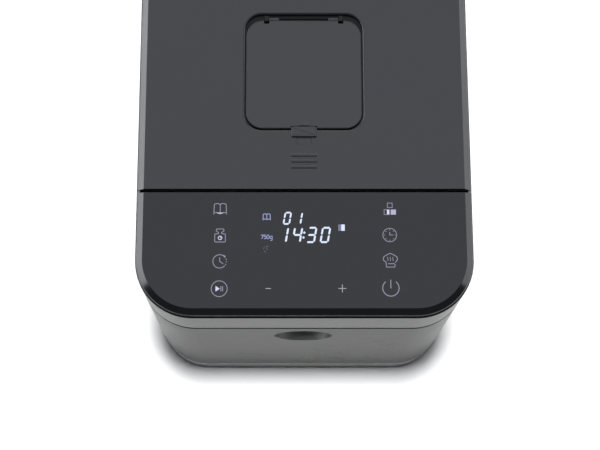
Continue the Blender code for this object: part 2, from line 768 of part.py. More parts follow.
def make_lid():
    axis = joint_empty("lid_axis", (0, HINGE_Y, HINGE_Z))
    cover = top_plate("lid_cover", "lid_plastic", LID_FRONT, HINGE_Y)
    barrel = circle(HINGE_RADIUS, HINGE_Y, HINGE_Z, ROUND)
    low, high = TOP_SPAN
    cut(cover, add_box, *both_sides((BARREL_END, HINGE_Y - CORNER_RELIEF, low), (WIDTH, DEPTH, high)))
    tool = helper("lid_barrel", add_loft, ([(barrel, -BARREL_END), (barrel, BARREL_END)], False, ALONG_X))
    combine(cover, "UNION", tool)
    hatch = [(hatch_outline(), z) for z in TOP_SPAN]
    cut(cover, add_loft, (hatch,))
    cut(cover, add_box, *both_sides((KNUCKLE_LOW, HINGE_Y - 0.0072, low), (KNUCKLE_HIGH, DEPTH, high)))
    bore = circle(0.0023, HINGE_Y, HINGE_Z, SMALL_ROUND)
    cut(
        cover,
        add_loft,
        ([(bore, 0.055), (bore, 0.087)], False, ALONG_X),
        ([(bore, -0.087), (bore, -0.055)], False, ALONG_X),
    )
    cut(cover, add_box, ((-0.0055, -0.0438, low), (0.0055, -0.0354, high)))
    ridge_foot, ridge_crest, ridge_half_x, sunk, proud = 0.0014, 0.0006, 0.0097, 0.0008, 0.0009
    for y in (-0.0524, -0.0570, -0.0616):
        profile = [
            (y - ridge_foot, PLATE_TOP - sunk),
            (y + ridge_foot, PLATE_TOP - sunk),
            (y + ridge_crest, PLATE_TOP + proud),
            (y - ridge_crest, PLATE_TOP + proud),
        ]
        fuse_loft(cover, [(profile, -ridge_half_x), (profile, ridge_half_x)], ALONG_X)

    frame_plan, frame_wall = (0.112, -0.0765, 0.1400, 0.010), 0.003
    frame = loft(
        "lid_frame",
        "dark_plastic",
        [
            (rounded(*frame_plan), 0.2615),
            (rounded(*frame_plan), PLATE_BOTTOM - GAP),
            (rounded(*frame_plan, frame_wall), PLATE_BOTTOM - GAP),
            (rounded(*frame_plan, frame_wall), 0.2635),
        ],
    )
    cut(frame, add_loft, ([(hatch_outline(-0.0005), z) for z in (0.25, 0.28)],))
    liner = loft(
        "lid_liner",
        "steel_sheet",
        [
            (oven_outline(0.0060), 0.2592),
            (oven_outline(0.0060), 0.2612),
            (hatch_outline(-0.0005), 0.2612),
            (hatch_outline(-0.0005), 0.2592),
        ],
        closed=True,
    )
    seal = loft(
        "lid_seal",
        "silicone",
        [
            (oven_outline(-0.0090), 0.2612),
            (oven_outline(-0.0075), 0.2582),
            (oven_outline(-0.0040), 0.2582),
            (oven_outline(-0.0025), 0.2612),
        ],
        closed=True,
    )
    hopper = make_hopper()
    low, high = (0.0560, -0.032, 0.2638), (0.0860, -0.014, PLATE_BOTTOM - GAP)
    solenoid = box("solenoid", "steel_sheet", low, high)
    cut(solenoid, add_rod, (0.0029, 0.050, 0.076, ALONG_X, (-0.023, 0.268)))
    pin = turned(
        "flap_hinge_pin",
        "turned_steel",
        [(0.0009, -0.0304), (0.0009, 0.0304)],
        (FLAP_HINGE_Y, FLAP_HINGE_Z),
        place=ALONG_X,
        sides=12,
    )
    carry(axis, cover, frame, liner, seal, hopper, solenoid, pin)

    plunger_axis = joint_empty("plunger_axis", (0.0495, -0.023, 0.268))
    plunger = turned(
        "solenoid_plunger",
        "turned_steel",
        [(0.0036, 0.0495), (0.0036, 0.0510), (0.0026, 0.0510), (0.0026, 0.0700)],
        (-0.023, 0.268),
        place=ALONG_X,
        sides=16,
    )
    carry(plunger_axis, plunger)
    plunger_axis.parent = axis
    plunger_axis.matrix_parent_inverse = Matrix.Translation(-axis.location)
    make_flap(axis)
    make_door(axis)
    make_latch(axis)


def make_hopper():
    """The dispenser box: upright walls under the hatch, then a funnel to the mouth above the pan."""
    wall = 0.0014
    body, flange = hatch_outline(0.0023), hatch_outline(-0.0017)
    mouth = rounded(0.0240, 0.006, 0.050, 0.008)
    outer_mouth = rounded(0.0240, 0.006, 0.050, 0.008, -wall)
    hopper = loft(
        "dispenser_box",
        "dark_plastic",
        [
            (mouth, 0.2455),
            (outer_mouth, 0.2455),
            (body, 0.2570),
            (body, 0.2700),
            (flange, 0.2700),
            (flange, 0.2724),
            (hatch_outline(0.0023 + wall), 0.2724),
            (hatch_outline(0.0023 + wall), 0.2575),
        ],
        closed=True,
    )
    for low, high in both_sides((0.0270, FLAP_HINGE_Y - 0.0018, 0.2715), (0.0300, 0.0598, 0.2765)):
        fuse_box(hopper, low, high)
    for low, high in both_sides((0.0125, 0.0552, 0.2420), (0.0155, 0.0585, 0.2525)):
        fuse_box(hopper, low, high)
    cut(
        hopper,
        add_rod,
        (0.0013, -0.05, 0.05, ALONG_X, (FLAP_HINGE_Y, FLAP_HINGE_Z), 12),
        (0.0014, -0.02, 0.02, ALONG_X, (DOOR_HINGE_Y, DOOR_HINGE_Z), 12),
    )
    return hopper


def make_flap(lid_axis):
    axis = joint_empty("flap_axis", (0, FLAP_HINGE_Y, FLAP_HINGE_Z))
    outline = rounded(FLAP_HALF_X, FLAP_FRONT, FLAP_BACK, HATCH_CORNER - 0.0022)
    top = rounded(FLAP_HALF_X, FLAP_FRONT, FLAP_BACK, HATCH_CORNER - 0.0022, 0.0008)
    flap = loft(
        "dispenser_flap",
        "lid_plastic",
        [(outline, FLAP_BOTTOM), (outline, FLAP_TOP - 0.0008), (top, FLAP_TOP)],
    )
    ear_notches = both_sides((0.0265, 0.0528, 0.27), (0.0305, 0.060, 0.28))
    cut(flap, add_box, ((-0.0100, FLAP_FRONT - 0.001, 0.27), (0.0100, -0.0296, 0.28)), *ear_notches)
    for sign in (-1, 1):
        lug = circle(0.0020, FLAP_HINGE_Y, FLAP_HINGE_Z, 16)
        ends = sorted((sign * 0.0190, sign * 0.0265))
        fuse_loft(flap, [(lug, ends[0]), (lug, ends[1])], ALONG_X)
    cut(flap, add_rod, (0.0012, -0.05, 0.05, ALONG_X, (FLAP_HINGE_Y, FLAP_HINGE_Z), 12))
    seal = loft(
        "flap_seal",
        "silicone",
        [
            (hatch_outline(0.0024), 0.2727),
            (hatch_outline(0.0024), FLAP_BOTTOM - GAP),
            (hatch_outline(0.0040), FLAP_BOTTOM - GAP),
            (hatch_outline(0.0040), 0.2727),
        ],
        closed=True,
    )
    cut(seal, add_box, ((-0.06, FLAP_HINGE_Y - 0.0026, 0.27), (0.06, 0.07, 0.28)))
    carry(axis, flap, seal)
    axis.parent = lid_axis
    axis.matrix_parent_inverse = Matrix.Translation(-lid_axis.location)


def make_door(lid_axis):
    axis = joint_empty("door_axis", (0, DOOR_HINGE_Y, DOOR_HINGE_Z))
    door = loft(
        "trapdoor",
        "dark_plastic",
        [(rounded(0.0258, 0.0040, 0.0530, 0.008), z) for z in (DOOR_HINGE_Z - 0.0008, DOOR_HINGE_Z + 0.0010)],
    )
    barrel = circle(0.0020, DOOR_HINGE_Y, DOOR_HINGE_Z, 16)
    fuse_loft(door, [(barrel, -0.0120), (barrel, 0.0120)], ALONG_X)
    fuse_box(door, (-0.0120, 0.0520, DOOR_HINGE_Z - 0.0008), (0.0120, 0.0560, DOOR_HINGE_Z + 0.0010))
    pin = circle(0.0010, DOOR_HINGE_Y, DOOR_HINGE_Z, 12)
    fuse_loft(door, [(pin, -0.0162), (pin, 0.0162)], ALONG_X)
    carry(axis, door)
    axis.parent = lid_axis
    axis.matrix_parent_inverse = Matrix.Translation(-lid_axis.location)


def make_latch(lid_axis):
    axis = joint_empty("latch_axis", (0, LATCH_FRONT, PLATE_TOP))
    low, edge = PLATE_TOP + GAP, 0.0006
    outline = rounded(LATCH_HALF_X, LATCH_FRONT, LATCH_BACK, 0.0012)
    inner = rounded(LATCH_HALF_X, LATCH_FRONT, LATCH_BACK, 0.0012, edge)
    rings = [(outline, low), (outline, LATCH_TOP - edge), (inner, LATCH_TOP)]
    latch = loft("flap_latch", "lid_plastic", rings)
    fuse_box(latch, (-0.0050, -0.0384, 0.2700), (0.0050, -0.0358, 0.2780))
    carry(axis, latch)
    axis.parent = lid_axis
    axis.matrix_parent_inverse = Matrix.Translation(-lid_axis.location)


# Pan.


def make_pan():
    axis = joint_empty("pan_axis", (0, OVEN_Y, PAN_FLOOR))
    flange, lip = 0.0025, 0.0015
    pan = loft(
        "bread_pan",
        "nonstick",
        [
            (pan_outline(0.0015), PAN_FLOOR),
            (pan_outline(), PAN_FLOOR + 0.0015),
            (pan_outline(), PAN_RIM - lip),
            (pan_outline(-flange), PAN_RIM - lip),
            (pan_outline(-flange), PAN_RIM),
            (pan_outline(PAN_WALL), PAN_RIM),
            (pan_outline(PAN_WALL), PAN_FLOOR + PAN_WALL),
        ],
    )
    for low, high in both_sides((0.0656, OVEN_Y - 0.006, 0.212), (0.0705, OVEN_Y + 0.006, 0.2252)):
        fuse_box(pan, low, high)
    cut(pan, add_rod, (0.0052, 0.07, 0.09, Matrix(), (0, OVEN_Y)))
    cut(
        pan,
        add_rod,
        (0.0026, 0.0672, 0.0730, ALONG_X, (OVEN_Y, BAIL_PIVOT_Z)),
        (0.0026, -0.0730, -0.0672, ALONG_X, (OVEN_Y, BAIL_PIVOT_Z)),
    )
    base = turned(
        "pan_base",
        "cast_aluminium",
        [(0.0370, 0.0655), (0.0440, 0.0655), (0.0440, 0.0777), (0.0370, 0.0777)],
        (0, OVEN_Y),
        closed=True,
    )
    bearing = turned(
        "pan_bearing",
        "cast_aluminium",
        [
            (BORE_RADIUS, 0.0705),
            (0.0080, 0.0705),
            (0.0120, 0.0760),
            (0.0120, 0.0777),
            (BORE_RADIUS, 0.0777),
        ],
        (0, OVEN_Y),
        closed=True,
        sides=SMALL_ROUND,
    )
    carry(axis, pan, base, bearing)

    bail_axis = joint_empty("bail_axis", (0, OVEN_Y, BAIL_PIVOT_Z))
    reach_y = OVEN_Y - BAIL_REACH * math.cos(BAIL_DROP)
    reach_z = BAIL_PIVOT_Z - BAIL_REACH * math.sin(BAIL_DROP)
    end_x, arm_x = 0.0676, 0.0745
    path = bent(
        [
            (-end_x, OVEN_Y, BAIL_PIVOT_Z),
            (-arm_x, OVEN_Y, BAIL_PIVOT_Z),
            (-arm_x, reach_y, reach_z),
            (arm_x, reach_y, reach_z),
            (arm_x, OVEN_Y, BAIL_PIVOT_Z),
            (end_x, OVEN_Y, BAIL_PIVOT_Z),
        ],
        0.0030,
    )
    bail = wire("bail_handle", "turned_steel", path, 0.0020)
    carry(bail_axis, bail)

    paddle_axis = joint_empty("paddle_axis", (0, OVEN_Y, PAN_FLOOR))
    shaft = turned(
        "pan_shaft",
        "turned_steel",
        [(SHAFT_RADIUS, 0.0660), (SHAFT_RADIUS, 0.1010)],
        (0, OVEN_Y),
        sides=SMALL_ROUND,
    )
    wing = turned(
        "pan_coupling",
        "cast_aluminium",
        [(BORE_RADIUS, 0.0662), (0.0070, 0.0662), (0.0070, 0.0698), (BORE_RADIUS, 0.0698)],
        (0, OVEN_Y),
        closed=True,
        sides=SMALL_ROUND,
    )
    fuse_box(
        wing,
        (-0.0028, OVEN_Y + 0.0055, 0.0662),
        (0.0028, OVEN_Y + 0.0135, 0.0698),
        (-0.0028, OVEN_Y - 0.0135, 0.0662),
        (0.0028, OVEN_Y - 0.0055, 0.0698),
    )
    paddle = turned(
        "kneading_paddle",
        "nonstick",
        [
            (BORE_RADIUS, 0.0800),
            (0.0098, 0.0800),
            (0.0086, 0.1030),
            (0.0070, 0.1050),
            (BORE_RADIUS, 0.1050),
        ],
        (0, OVEN_Y),
        closed=True,
    )
    blade = []
    blade_sections = (  # distance from the shaft, bottom, top
        (0.0065, 0.0815, 0.1045),
        (0.0200, 0.0810, 0.1130),
        (0.0420, 0.0808, 0.1080),
        (0.0520, 0.0806, 0.0920),
    )
    foot, crest = 0.0016, 0.0010
    for reach, low, high in blade_sections:
        outline = [
            (OVEN_Y - foot, low),
            (OVEN_Y + foot, low),
            (OVEN_Y + crest, high),
            (OVEN_Y - crest, high),
        ]
        blade.append((outline, reach))
    fuse_loft(paddle, blade, ALONG_X)
    carry(paddle_axis, shaft, wing, paddle)
    for joint in (bail_axis, paddle_axis):
        joint.parent = axis
        joint.matrix_parent_inverse = Matrix.Translation(-axis.location)


def main():
    clear_scene()
    make_base()
    make_wrap()
    make_scoop()
    make_upper_frame()
    make_panel()
    make_hinges()
    make_oven()
    make_drive()
    make_electrics()
    make_lid()
    make_pan()


main()
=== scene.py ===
"""The looks of a slim bread machine: fine casings, lid, touch panel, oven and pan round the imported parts.

Every piece is a closed surface worked out with numpy, in metres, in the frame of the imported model:
+Z up, the control panel towards -Y, the feet on z = 0.
"""

import json
import logging
import math
from dataclasses import dataclass, field
from enum import Enum
from typing import Callable, Iterable, Sequence

import bmesh
import bpy
import numpy as np
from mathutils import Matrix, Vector


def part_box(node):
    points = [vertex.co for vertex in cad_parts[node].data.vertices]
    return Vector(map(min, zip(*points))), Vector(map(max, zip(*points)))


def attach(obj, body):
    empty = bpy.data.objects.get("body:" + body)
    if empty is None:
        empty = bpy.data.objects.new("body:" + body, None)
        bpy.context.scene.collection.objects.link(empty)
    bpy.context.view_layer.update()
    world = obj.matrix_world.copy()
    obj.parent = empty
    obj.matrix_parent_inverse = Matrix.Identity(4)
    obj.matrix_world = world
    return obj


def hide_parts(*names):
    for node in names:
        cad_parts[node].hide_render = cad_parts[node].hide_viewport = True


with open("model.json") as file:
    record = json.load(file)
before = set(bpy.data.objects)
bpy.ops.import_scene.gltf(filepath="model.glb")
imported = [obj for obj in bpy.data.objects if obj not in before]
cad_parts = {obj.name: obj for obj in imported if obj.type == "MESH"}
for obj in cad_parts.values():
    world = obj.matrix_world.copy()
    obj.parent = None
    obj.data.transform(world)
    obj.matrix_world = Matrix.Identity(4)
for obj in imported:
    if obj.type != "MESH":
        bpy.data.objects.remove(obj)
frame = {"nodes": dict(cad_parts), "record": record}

LOG = logging.getLogger("bread_machine")
MM = 0.001
WEAR = "wear"  # point attribute: 0 on flats, up to 1 midway round an edge
SHARP_ANGLE = math.radians(38)
WELD_DISTANCE = 2e-7
LEAST_EDGE = 1e-5
PAST = 10 * MM  # how far a cutting tool reaches past what it cuts
CORNERS = ("front_left", "front_right", "rear_left", "rear_right")

Corner = tuple[float, float, float]
Colour = tuple[float, float, float]


class Body(Enum):
    """The moving bodies that pieces ride on."""

    HOUSING = "housing"
    LID = "lid"
    FLAP = "flap"
    LATCH = "latch"
    PLUNGER = "plunger"
    DOOR = "dispenser_door"
    DRIVE = "drive"
    ROTOR = "motor_rotor"
    PAN = "pan"
    BAIL = "bail"
    PADDLE = "paddle"


class Axis(Enum):
    """The axis that a turned or extruded piece lies along, as the order of its three coordinates."""

    X = (2, 0, 1)
    Y = (0, 2, 1)
    Z = (0, 1, 2)

    def place(self, across_a: np.ndarray, across_b: np.ndarray, along: np.ndarray) -> np.ndarray:
        """Stacks two coordinates across the axis and one along it as points."""
        across = np.broadcast_arrays(across_a, across_b, along)
        return np.stack([across[i] for i in self.value], axis=-1)


# Plans, profiles and surfaces.


@dataclass(frozen=True)
class Span:
    """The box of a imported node."""

    left: float
    front: float
    bottom: float
    right: float
    back: float
    top: float

    @classmethod
    def of(cls, node: str) -> "Span":
        """The box of the node named."""
        low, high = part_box(node)
        return cls(low.x, low.y, low.z, high.x, high.y, high.z)


@dataclass(frozen=True)
class Plan:
    """A closed outline seen from above, counter-clockwise.

    points are its corners and arcs. outer and seam are how far each point moves outwards for one
    unit of the profile's first and second inset, so that an outer edge and a seam edge of one
    plate can have different sections.
    """

    points: np.ndarray
    outer: np.ndarray
    seam: np.ndarray

    def inset(self, outer: np.ndarray, seam: np.ndarray | None = None) -> np.ndarray:
        """The outline at each of several insets: point minus inset times its outward direction.

        Args:
            outer: One inset for each row.
            seam: One inset of the seam edges for each row, the same as outer where left out.

        Returns:
            Rows by points by two coordinates.
        """
        outer = np.atleast_1d(outer)[:, None, None]
        seam = outer if seam is None else np.atleast_1d(seam)[:, None, None]
        return self.points - outer * self.outer - seam * self.seam

    def at(self, inset: float) -> np.ndarray:
        """The outline at one inset."""
        return self.inset(inset)[0]


@dataclass(frozen=True)
class Profile:
    """A section as samples of (inset, height); wear rises to 1 midway round each rounded corner."""

    inset: np.ndarray
    height: np.ndarray
    wear: np.ndarray
    closed: bool


def arc(start: float, end: float, steps: int) -> np.ndarray:
    """Unit vectors from one angle to another in degrees, as steps + 1 rows of (cos, sin)."""
    angle = np.radians(np.linspace(start, end, steps + 1))
    return np.stack([np.cos(angle), np.sin(angle)], axis=1)


def rounded_plan(half_x: float, front: float, back: float, radius: float, steps: int = 18) -> Plan:
    """A rectangle with round corners: each corner is a quarter circle about its own centre.

    Args:
        half_x: Half of the width.
        front: Lowest y.
        back: Highest y.
        radius: Corner radius.
        steps: Steps round each quarter circle.

    Returns:
        The plan, whose outward directions are the circle's own radii.
    """
    centres = (
        (radius - half_x, front + radius, 180),
        (half_x - radius, front + radius, 270),
        (half_x - radius, back - radius, 0),
        (radius - half_x, back - radius, 90),
    )
    outer = np.concatenate([arc(start, start + 90, steps) for _, _, start in centres])
    middles = np.repeat([(x, y) for x, y, _ in centres], steps + 1, axis=0)
    return Plan(middles + radius * outer, outer, np.zeros_like(outer))


def seamed_plan(whole: Plan, front: float | None, back: float | None) -> Plan:
    """The stretch of a rounded plan between two straight seams along x.

    A point beyond a seam is dropped. Where the outline crosses the seam it gets a corner, which
    moves with the outer inset across the seam and with the seam inset along y.

    Args:
        whole: The full outline.
        front: y of a front seam, or None.
        back: y of a back seam, or None.

    Returns:
        The cut outline.
    """
    points, outer, seam = whole.points, whole.outer, whole.seam
    for level, direction in ((front, -1.0), (back, 1.0)):
        if level is None:
            continue
        inside = (level - points[:, 1]) * direction > 1e-6
        first = int(np.argmax(inside & ~np.roll(inside, 1)))
        points, outer, seam, inside = (np.roll(a, -first, axis=0) for a in (points, outer, seam, inside))
        kept = int(inside.sum())
        ends = []
        for near, far in ((kept - 1, kept % len(points)), (0, -1)):
            share = (level - points[near, 1]) / (points[far, 1] - points[near, 1])
            corner = points[near] + share * (points[far] - points[near])
            side = outer[near] + share * (outer[far] - outer[near])
            ends.append((corner, side / np.linalg.norm(side)))
        points = np.concatenate([points[:kept], [ends[0][0], ends[1][0]]])
        outer = np.concatenate([outer[:kept], [ends[0][1], ends[1][1]]])
        seam = np.concatenate([seam[:kept], [(0.0, direction)] * 2])
    return Plan(points, outer, seam)


def rounded_path(
    corners: Sequence[Sequence[float]], radii: Sequence[float], closed: bool, steps: int = 6
) -> tuple[np.ndarray, np.ndarray]:
    """Straight runs through corners, with a tangent arc at each corner that has a radius.

    The arc's centre lies on the corner's bisector at radius / sin(half angle), and its points turn
    evenly from one tangent point to the other.

    Args:
        corners: Points in two or three dimensions.
        radii: A radius for each corner, 0 for a sharp one.
        closed: Whether the last corner joins the first.
        steps: Steps along each arc.

    Returns:
        The points, and for each point its wear: 0 on straight runs, rising to 1 in the middle of an arc.
    """
    corners = np.asarray(corners, float)
    count = len(corners)
    points, on_arc = [], []
    for i, (corner, radius) in enumerate(zip(corners, radii)):
        if radius <= 0 or (not closed and i in (0, count - 1)):
            points.append(corner[None])
            on_arc.append(np.zeros(1))
            continue
        before, after = corners[i - 1] - corner, corners[(i + 1) % count] - corner
        length_before, length_after = np.linalg.norm(before), np.linalg.norm(after)
        before, after = before / length_before, after / length_after
        half = math.acos(np.clip(before @ after, -1, 1)) / 2
        reach = min(radius / math.tan(half), 0.49 * length_before, 0.49 * length_after)
        true_radius = reach * math.tan(half)
        bisector = before + after
        centre = corner + bisector / np.linalg.norm(bisector) * true_radius / math.sin(half)
        start = (corner + before * reach - centre) / true_radius
        end = (corner + after * reach - centre) / true_radius
        whole = math.pi - 2 * half
        share = np.linspace(0, 1, steps + 1)[:, None]
        turned = (np.sin((1 - share) * whole) * start + np.sin(share * whole) * end) / math.sin(whole)
        points.append(centre + true_radius * turned)
        on_arc.append(np.sin(np.pi * share[:, 0]))
    return np.concatenate(points), np.concatenate(on_arc)


def rectangle(left: float, low: float, right: float, high: float) -> np.ndarray:
    """The four corners of a rectangle."""
    return np.array([(left, low), (right, low), (right, high), (left, high)])


def section(corners: Sequence[Corner], closed: bool = True, steps: int = 5) -> Profile:
    """A profile through corners of (inset, height, fillet radius)."""
    plain = [corner[:2] for corner in corners]
    points, wear = rounded_path(plain, [corner[2] for corner in corners], closed, steps)
    return Profile(points[:, 0], points[:, 1], wear, closed)


def smooth_loop(points: Sequence[Sequence[float]], closed: bool, steps: int = 6) -> np.ndarray:
    """A Catmull-Rom curve through points: each span is the cubic whose end slopes are half the
    difference of the neighbours on either side."""
    knots = np.asarray(points, float)
    padded = np.concatenate([knots[-1:], knots, knots[:2]]) if closed else np.concatenate(
        [2 * knots[:1] - knots[1:2], knots, 2 * knots[-1:] - knots[-2:-1]]
    )
    a, b, c, d = padded[:-3, None], padded[1:-2, None], padded[2:-1, None], padded[3:, None]
    t = np.linspace(0, 1, steps, endpoint=False)[None, :, None]
    curve = 0.5 * (2 * b + (c - a) * t + (2 * a - 5 * b + 4 * c - d) * t**2 + (3 * b - a - 3 * c + d) * t**3)
    curve = curve.reshape(-1, knots.shape[1])
    return curve if closed else np.concatenate([curve, knots[-1:]])


class Shell:
    """Patches of closed surfaces, gathered as arrays and made one mesh."""

    def __init__(self) -> None:
        """Starts with no patches."""
        self.points: list[np.ndarray] = []
        self.wear: list[np.ndarray] = []
        self.faces: list[Sequence[int]] = []
        self.count = 0

    def add_points(self, points: np.ndarray, wear: np.ndarray | None = None) -> int:
        """Adds points and gives the number of the first."""
        flat = points.reshape(-1, 3)
        self.points.append(flat)
        self.wear.append(np.zeros(len(flat)) if wear is None else wear.reshape(-1))
        start = self.count
        self.count += len(flat)
        return start

    def add_grid(
        self, grid: np.ndarray, wrap_rows: bool, wrap_columns: bool, wear: np.ndarray | None = None
    ) -> int:
        """Adds a grid of points as quads between neighbouring rows and columns.

        Args:
            grid: Rows by columns by three coordinates.
            wrap_rows: Whether the last row joins the first.
            wrap_columns: Whether the last column joins the first.
            wear: A value for each row, or for each point.

        Returns:
            The number of the first point.
        """
        rows, columns = grid.shape[:2]
        if wear is not None and wear.ndim == 1:
            wear = np.repeat(wear[:, None], columns, axis=1)
        start = self.add_points(grid, wear)
        index = start + np.arange(rows * columns).reshape(rows, columns)
        if wrap_rows:
            index = np.concatenate([index, index[:1]])
        if wrap_columns:
            index = np.concatenate([index, index[:, :1]], axis=1)
        quads = np.stack([index[:-1, :-1], index[:-1, 1:], index[1:, 1:], index[1:, :-1]], axis=-1)
        self.faces.extend(quads.reshape(-1, 4).tolist())
        return start

    def add_rings(self, grid: np.ndarray, closed: bool, wear: np.ndarray | None = None) -> "Shell":
        """Adds rows of points that each wrap round to a ring.

        Args:
            grid: Rows by columns by three coordinates.
            closed: Whether the last ring joins the first; if not, both get a flat cap.
            wear: A value for each row, or for each point.

        Returns:
            The shell.
        """
        start = self.add_grid(grid, closed, True, wear)
        if not closed:
            rows, columns = grid.shape[:2]
            for first in (start, start + (rows - 1) * columns):
                self.faces.append(list(range(first, first + columns)))
        return self

    def add_sweep(self, plan: Plan, profile: Profile, seam: Profile | None = None) -> "Shell":
        """Carries a profile round a plan; an open profile gets flat caps over its two ends.

        Row i is the plan moved inwards by the profile's inset i, at the profile's height i.

        Args:
            plan: The outline.
            profile: Section of the outer edges.
            seam: Section of the seam edges, with as many samples, or None for the same one.

        Returns:
            The shell.
        """
        flat = plan.inset(profile.inset, None if seam is None else seam.inset)
        height = np.broadcast_to(profile.height[:, None, None], flat.shape[:2] + (1,))
        grid = np.concatenate([flat, height], axis=2)
        return self.add_rings(grid, profile.closed, profile.wear)

    def add_loft(self, outlines: Sequence[tuple[np.ndarray, float]], closed: bool) -> "Shell":
        """Joins level outlines that have the same number of points, each at its own height.

        Args:
            outlines: Each outline's points, and its height.
            closed: Whether the last joins the first; if not, both ends are capped.

        Returns:
            The shell.
        """
        flat = np.stack([outline for outline, _ in outlines])
        level = np.array([height for _, height in outlines])[:, None, None]
        grid = np.concatenate([flat, np.broadcast_to(level, flat.shape[:2] + (1,))], axis=2)
        return self.add_rings(grid, closed)

    def add_turned(
        self, profile: Profile, centre: tuple[float, float] = (0.0, 0.0), axis: Axis = Axis.Z, sides: int = 64
    ) -> "Shell":
        """Turns a profile of (radius, height) about an axis; an open one gets flat caps.

        Point (i, j) lies at radius i and height i, at angle 2 pi j / sides.

        Args:
            profile: The section, whose insets are radii.
            centre: Where the axis passes, in the two coordinates across it.
            axis: The axis.
            sides: Points round the circle.

        Returns:
            The shell.
        """
        angle = np.linspace(0, 2 * math.pi, sides, endpoint=False)
        radius, along = profile.inset[:, None], profile.height[:, None]
        across_a, across_b = centre[0] + radius * np.cos(angle), centre[1] + radius * np.sin(angle)
        return self.add_rings(axis.place(across_a, across_b, along + 0 * angle), profile.closed, profile.wear)

    def add_block(
        self, outline: np.ndarray, low: float, high: float, axis: Axis = Axis.Z, round_edge: float = 0.0
    ) -> "Shell":
        """Extrudes a convex outline along an axis, its edges rounded by a shrinking of the outline.

        Args:
            outline: Points by two coordinates, across the axis.
            low: Where it starts.
            high: Where it ends.
            axis: The axis of the extrusion.
            round_edge: Radius of the rounding at both ends.

        Returns:
            The shell.
        """
        middle = outline.mean(axis=0)
        reach = np.linalg.norm(outline - middle, axis=1).max()
        if round_edge:
            bow = arc(-90, 0, 3)
            inset = round_edge * (1 - np.concatenate([bow[:, 0], bow[::-1, 0]]))
            step = round_edge * (1 + bow[:, 1])
            along = np.concatenate([low + step, high - step[::-1]])
        else:
            inset, along = np.zeros(2), np.array([low, high])
        share = 1 - inset[:, None, None] / reach
        flat = middle + (outline - middle) * share
        grid = axis.place(flat[..., 0], flat[..., 1], along[:, None] + 0 * flat[..., 0])
        return self.add_rings(grid, False, (inset > 0).astype(float))

    def add_tube(self, path: np.ndarray, radius: float, across: Sequence[float], sides: int = 20) -> "Shell":
        """Carries a circle along a path that lies in one plane, and caps its ends.

        Each ring is path point plus radius times (cos of the angle times the path's own normal in
        the plane plus sin of the angle times the plane's normal).

        Args:
            path: Points by three coordinates.
            radius: Radius of the tube.
            across: The plane's normal.
            sides: Points round the tube.

        Returns:
            The shell.
        """
        normal = np.asarray(across, float)
        normal = normal / np.linalg.norm(normal)
        along = np.gradient(path, axis=0)
        along /= np.linalg.norm(along, axis=1)[:, None]
        inward = np.cross(normal, along)
        angle = np.linspace(0, 2 * math.pi, sides, endpoint=False)[None, :, None]
        grid = path[:, None] + radius * (np.cos(angle) * inward[:, None] + np.sin(angle) * normal)
        return self.add_rings(grid, False)

    def add_ribbon(self, path: np.ndarray, width: float, low: float, high: float, closed: bool) -> "Shell":
        """Carries a flat rectangle along a level path: a drawn line with a thickness.

        Each side is the path moved by half the width along its mitred normal.

        Args:
            path: Points by two coordinates.
            width: Width of the line.
            low: Height of its underside.
            high: Height of its top.
            closed: Whether the path joins up.

        Returns:
            The shell.
        """
        after = np.roll(path, -1, axis=0) - path
        before = path - np.roll(path, 1, axis=0)
        if not closed:
            after[-1], before[0] = before[-1], after[0]
        after /= np.linalg.norm(after, axis=1)[:, None]
        before /= np.linalg.norm(before, axis=1)[:, None]
        tangent = after + before
        tangent /= np.maximum(np.linalg.norm(tangent, axis=1), 1e-9)[:, None]
        normal = np.stack([-tangent[:, 1], tangent[:, 0]], axis=1)
        stretch = 1 / np.maximum(np.abs(np.sum(tangent * after, axis=1)), 0.5)
        side = normal * (stretch * width / 2)[:, None]
        ends = np.stack([path + side, path - side, path - side, path + side])
        level = np.array([low, low, high, high])[:, None, None]
        grid = np.concatenate([ends, np.broadcast_to(level, ends.shape[:2] + (1,))], axis=2)
        start = self.add_grid(grid, True, closed)
        if not closed:
            columns = len(path)
            for column in (0, columns - 1):
                self.faces.append([start + row * columns + column for row in range(4)])
        return self

    def build(self, name: str) -> bpy.types.Object:
        """Makes the object: points that meet are welded and faces turned outwards."""
        data = bpy.data.meshes.new(name)
        data.from_pydata(np.concatenate(self.points), [], self.faces)
        data.attributes.new(WEAR, "FLOAT", "POINT").data.foreach_set(
            "value", np.concatenate(self.wear).astype(np.float32)
        )
        mesh = bmesh.new()
        mesh.from_mesh(data)
        bmesh.ops.remove_doubles(mesh, verts=mesh.verts, dist=WELD_DISTANCE)
        bmesh.ops.recalc_face_normals(mesh, faces=mesh.faces)
        mesh.to_mesh(data)
        mesh.free()
        made = bpy.data.objects.new(name, data)
        bpy.context.scene.collection.objects.link(made)
        return made


def apply_modifiers(piece: bpy.types.Object) -> None:
    """Keeps the piece's mesh as its modifiers leave it, and drops the modifiers."""
    graph = bpy.context.evaluated_depsgraph_get()
    final = bpy.data.meshes.new_from_object(piece.evaluated_get(graph), depsgraph=graph)
    piece.modifiers.clear()
    piece.data = final


def carve(piece: bpy.types.Object, *tools: Shell, operation: str = "DIFFERENCE") -> None:
    """Cuts each tool out of the piece, or joins it to the piece, and removes the tools."""
    helpers = []
    for number, tool in enumerate(tools):
        helper = tool.build(f"{piece.name}_tool_{number}")
        change = piece.modifiers.new(helper.name, "BOOLEAN")
        change.operation = operation
        change.object = helper
        helpers.append(helper)
    apply_modifiers(piece)
    for helper in helpers:
        bpy.data.objects.remove(helper)


def shade(piece: bpy.types.Object, angle: float = SHARP_ANGLE) -> None:
    """Smooth shading up to an angle, with the flat faces keeping their own normals."""
    piece.data.shade_smooth()
    piece.data.set_sharp_from_angle(angle=angle)
    weigh = piece.modifiers.new("weighted", "WEIGHTED_NORMAL")
    weigh.keep_sharp = True
    apply_modifiers(piece)


# Shader groups and finishes.


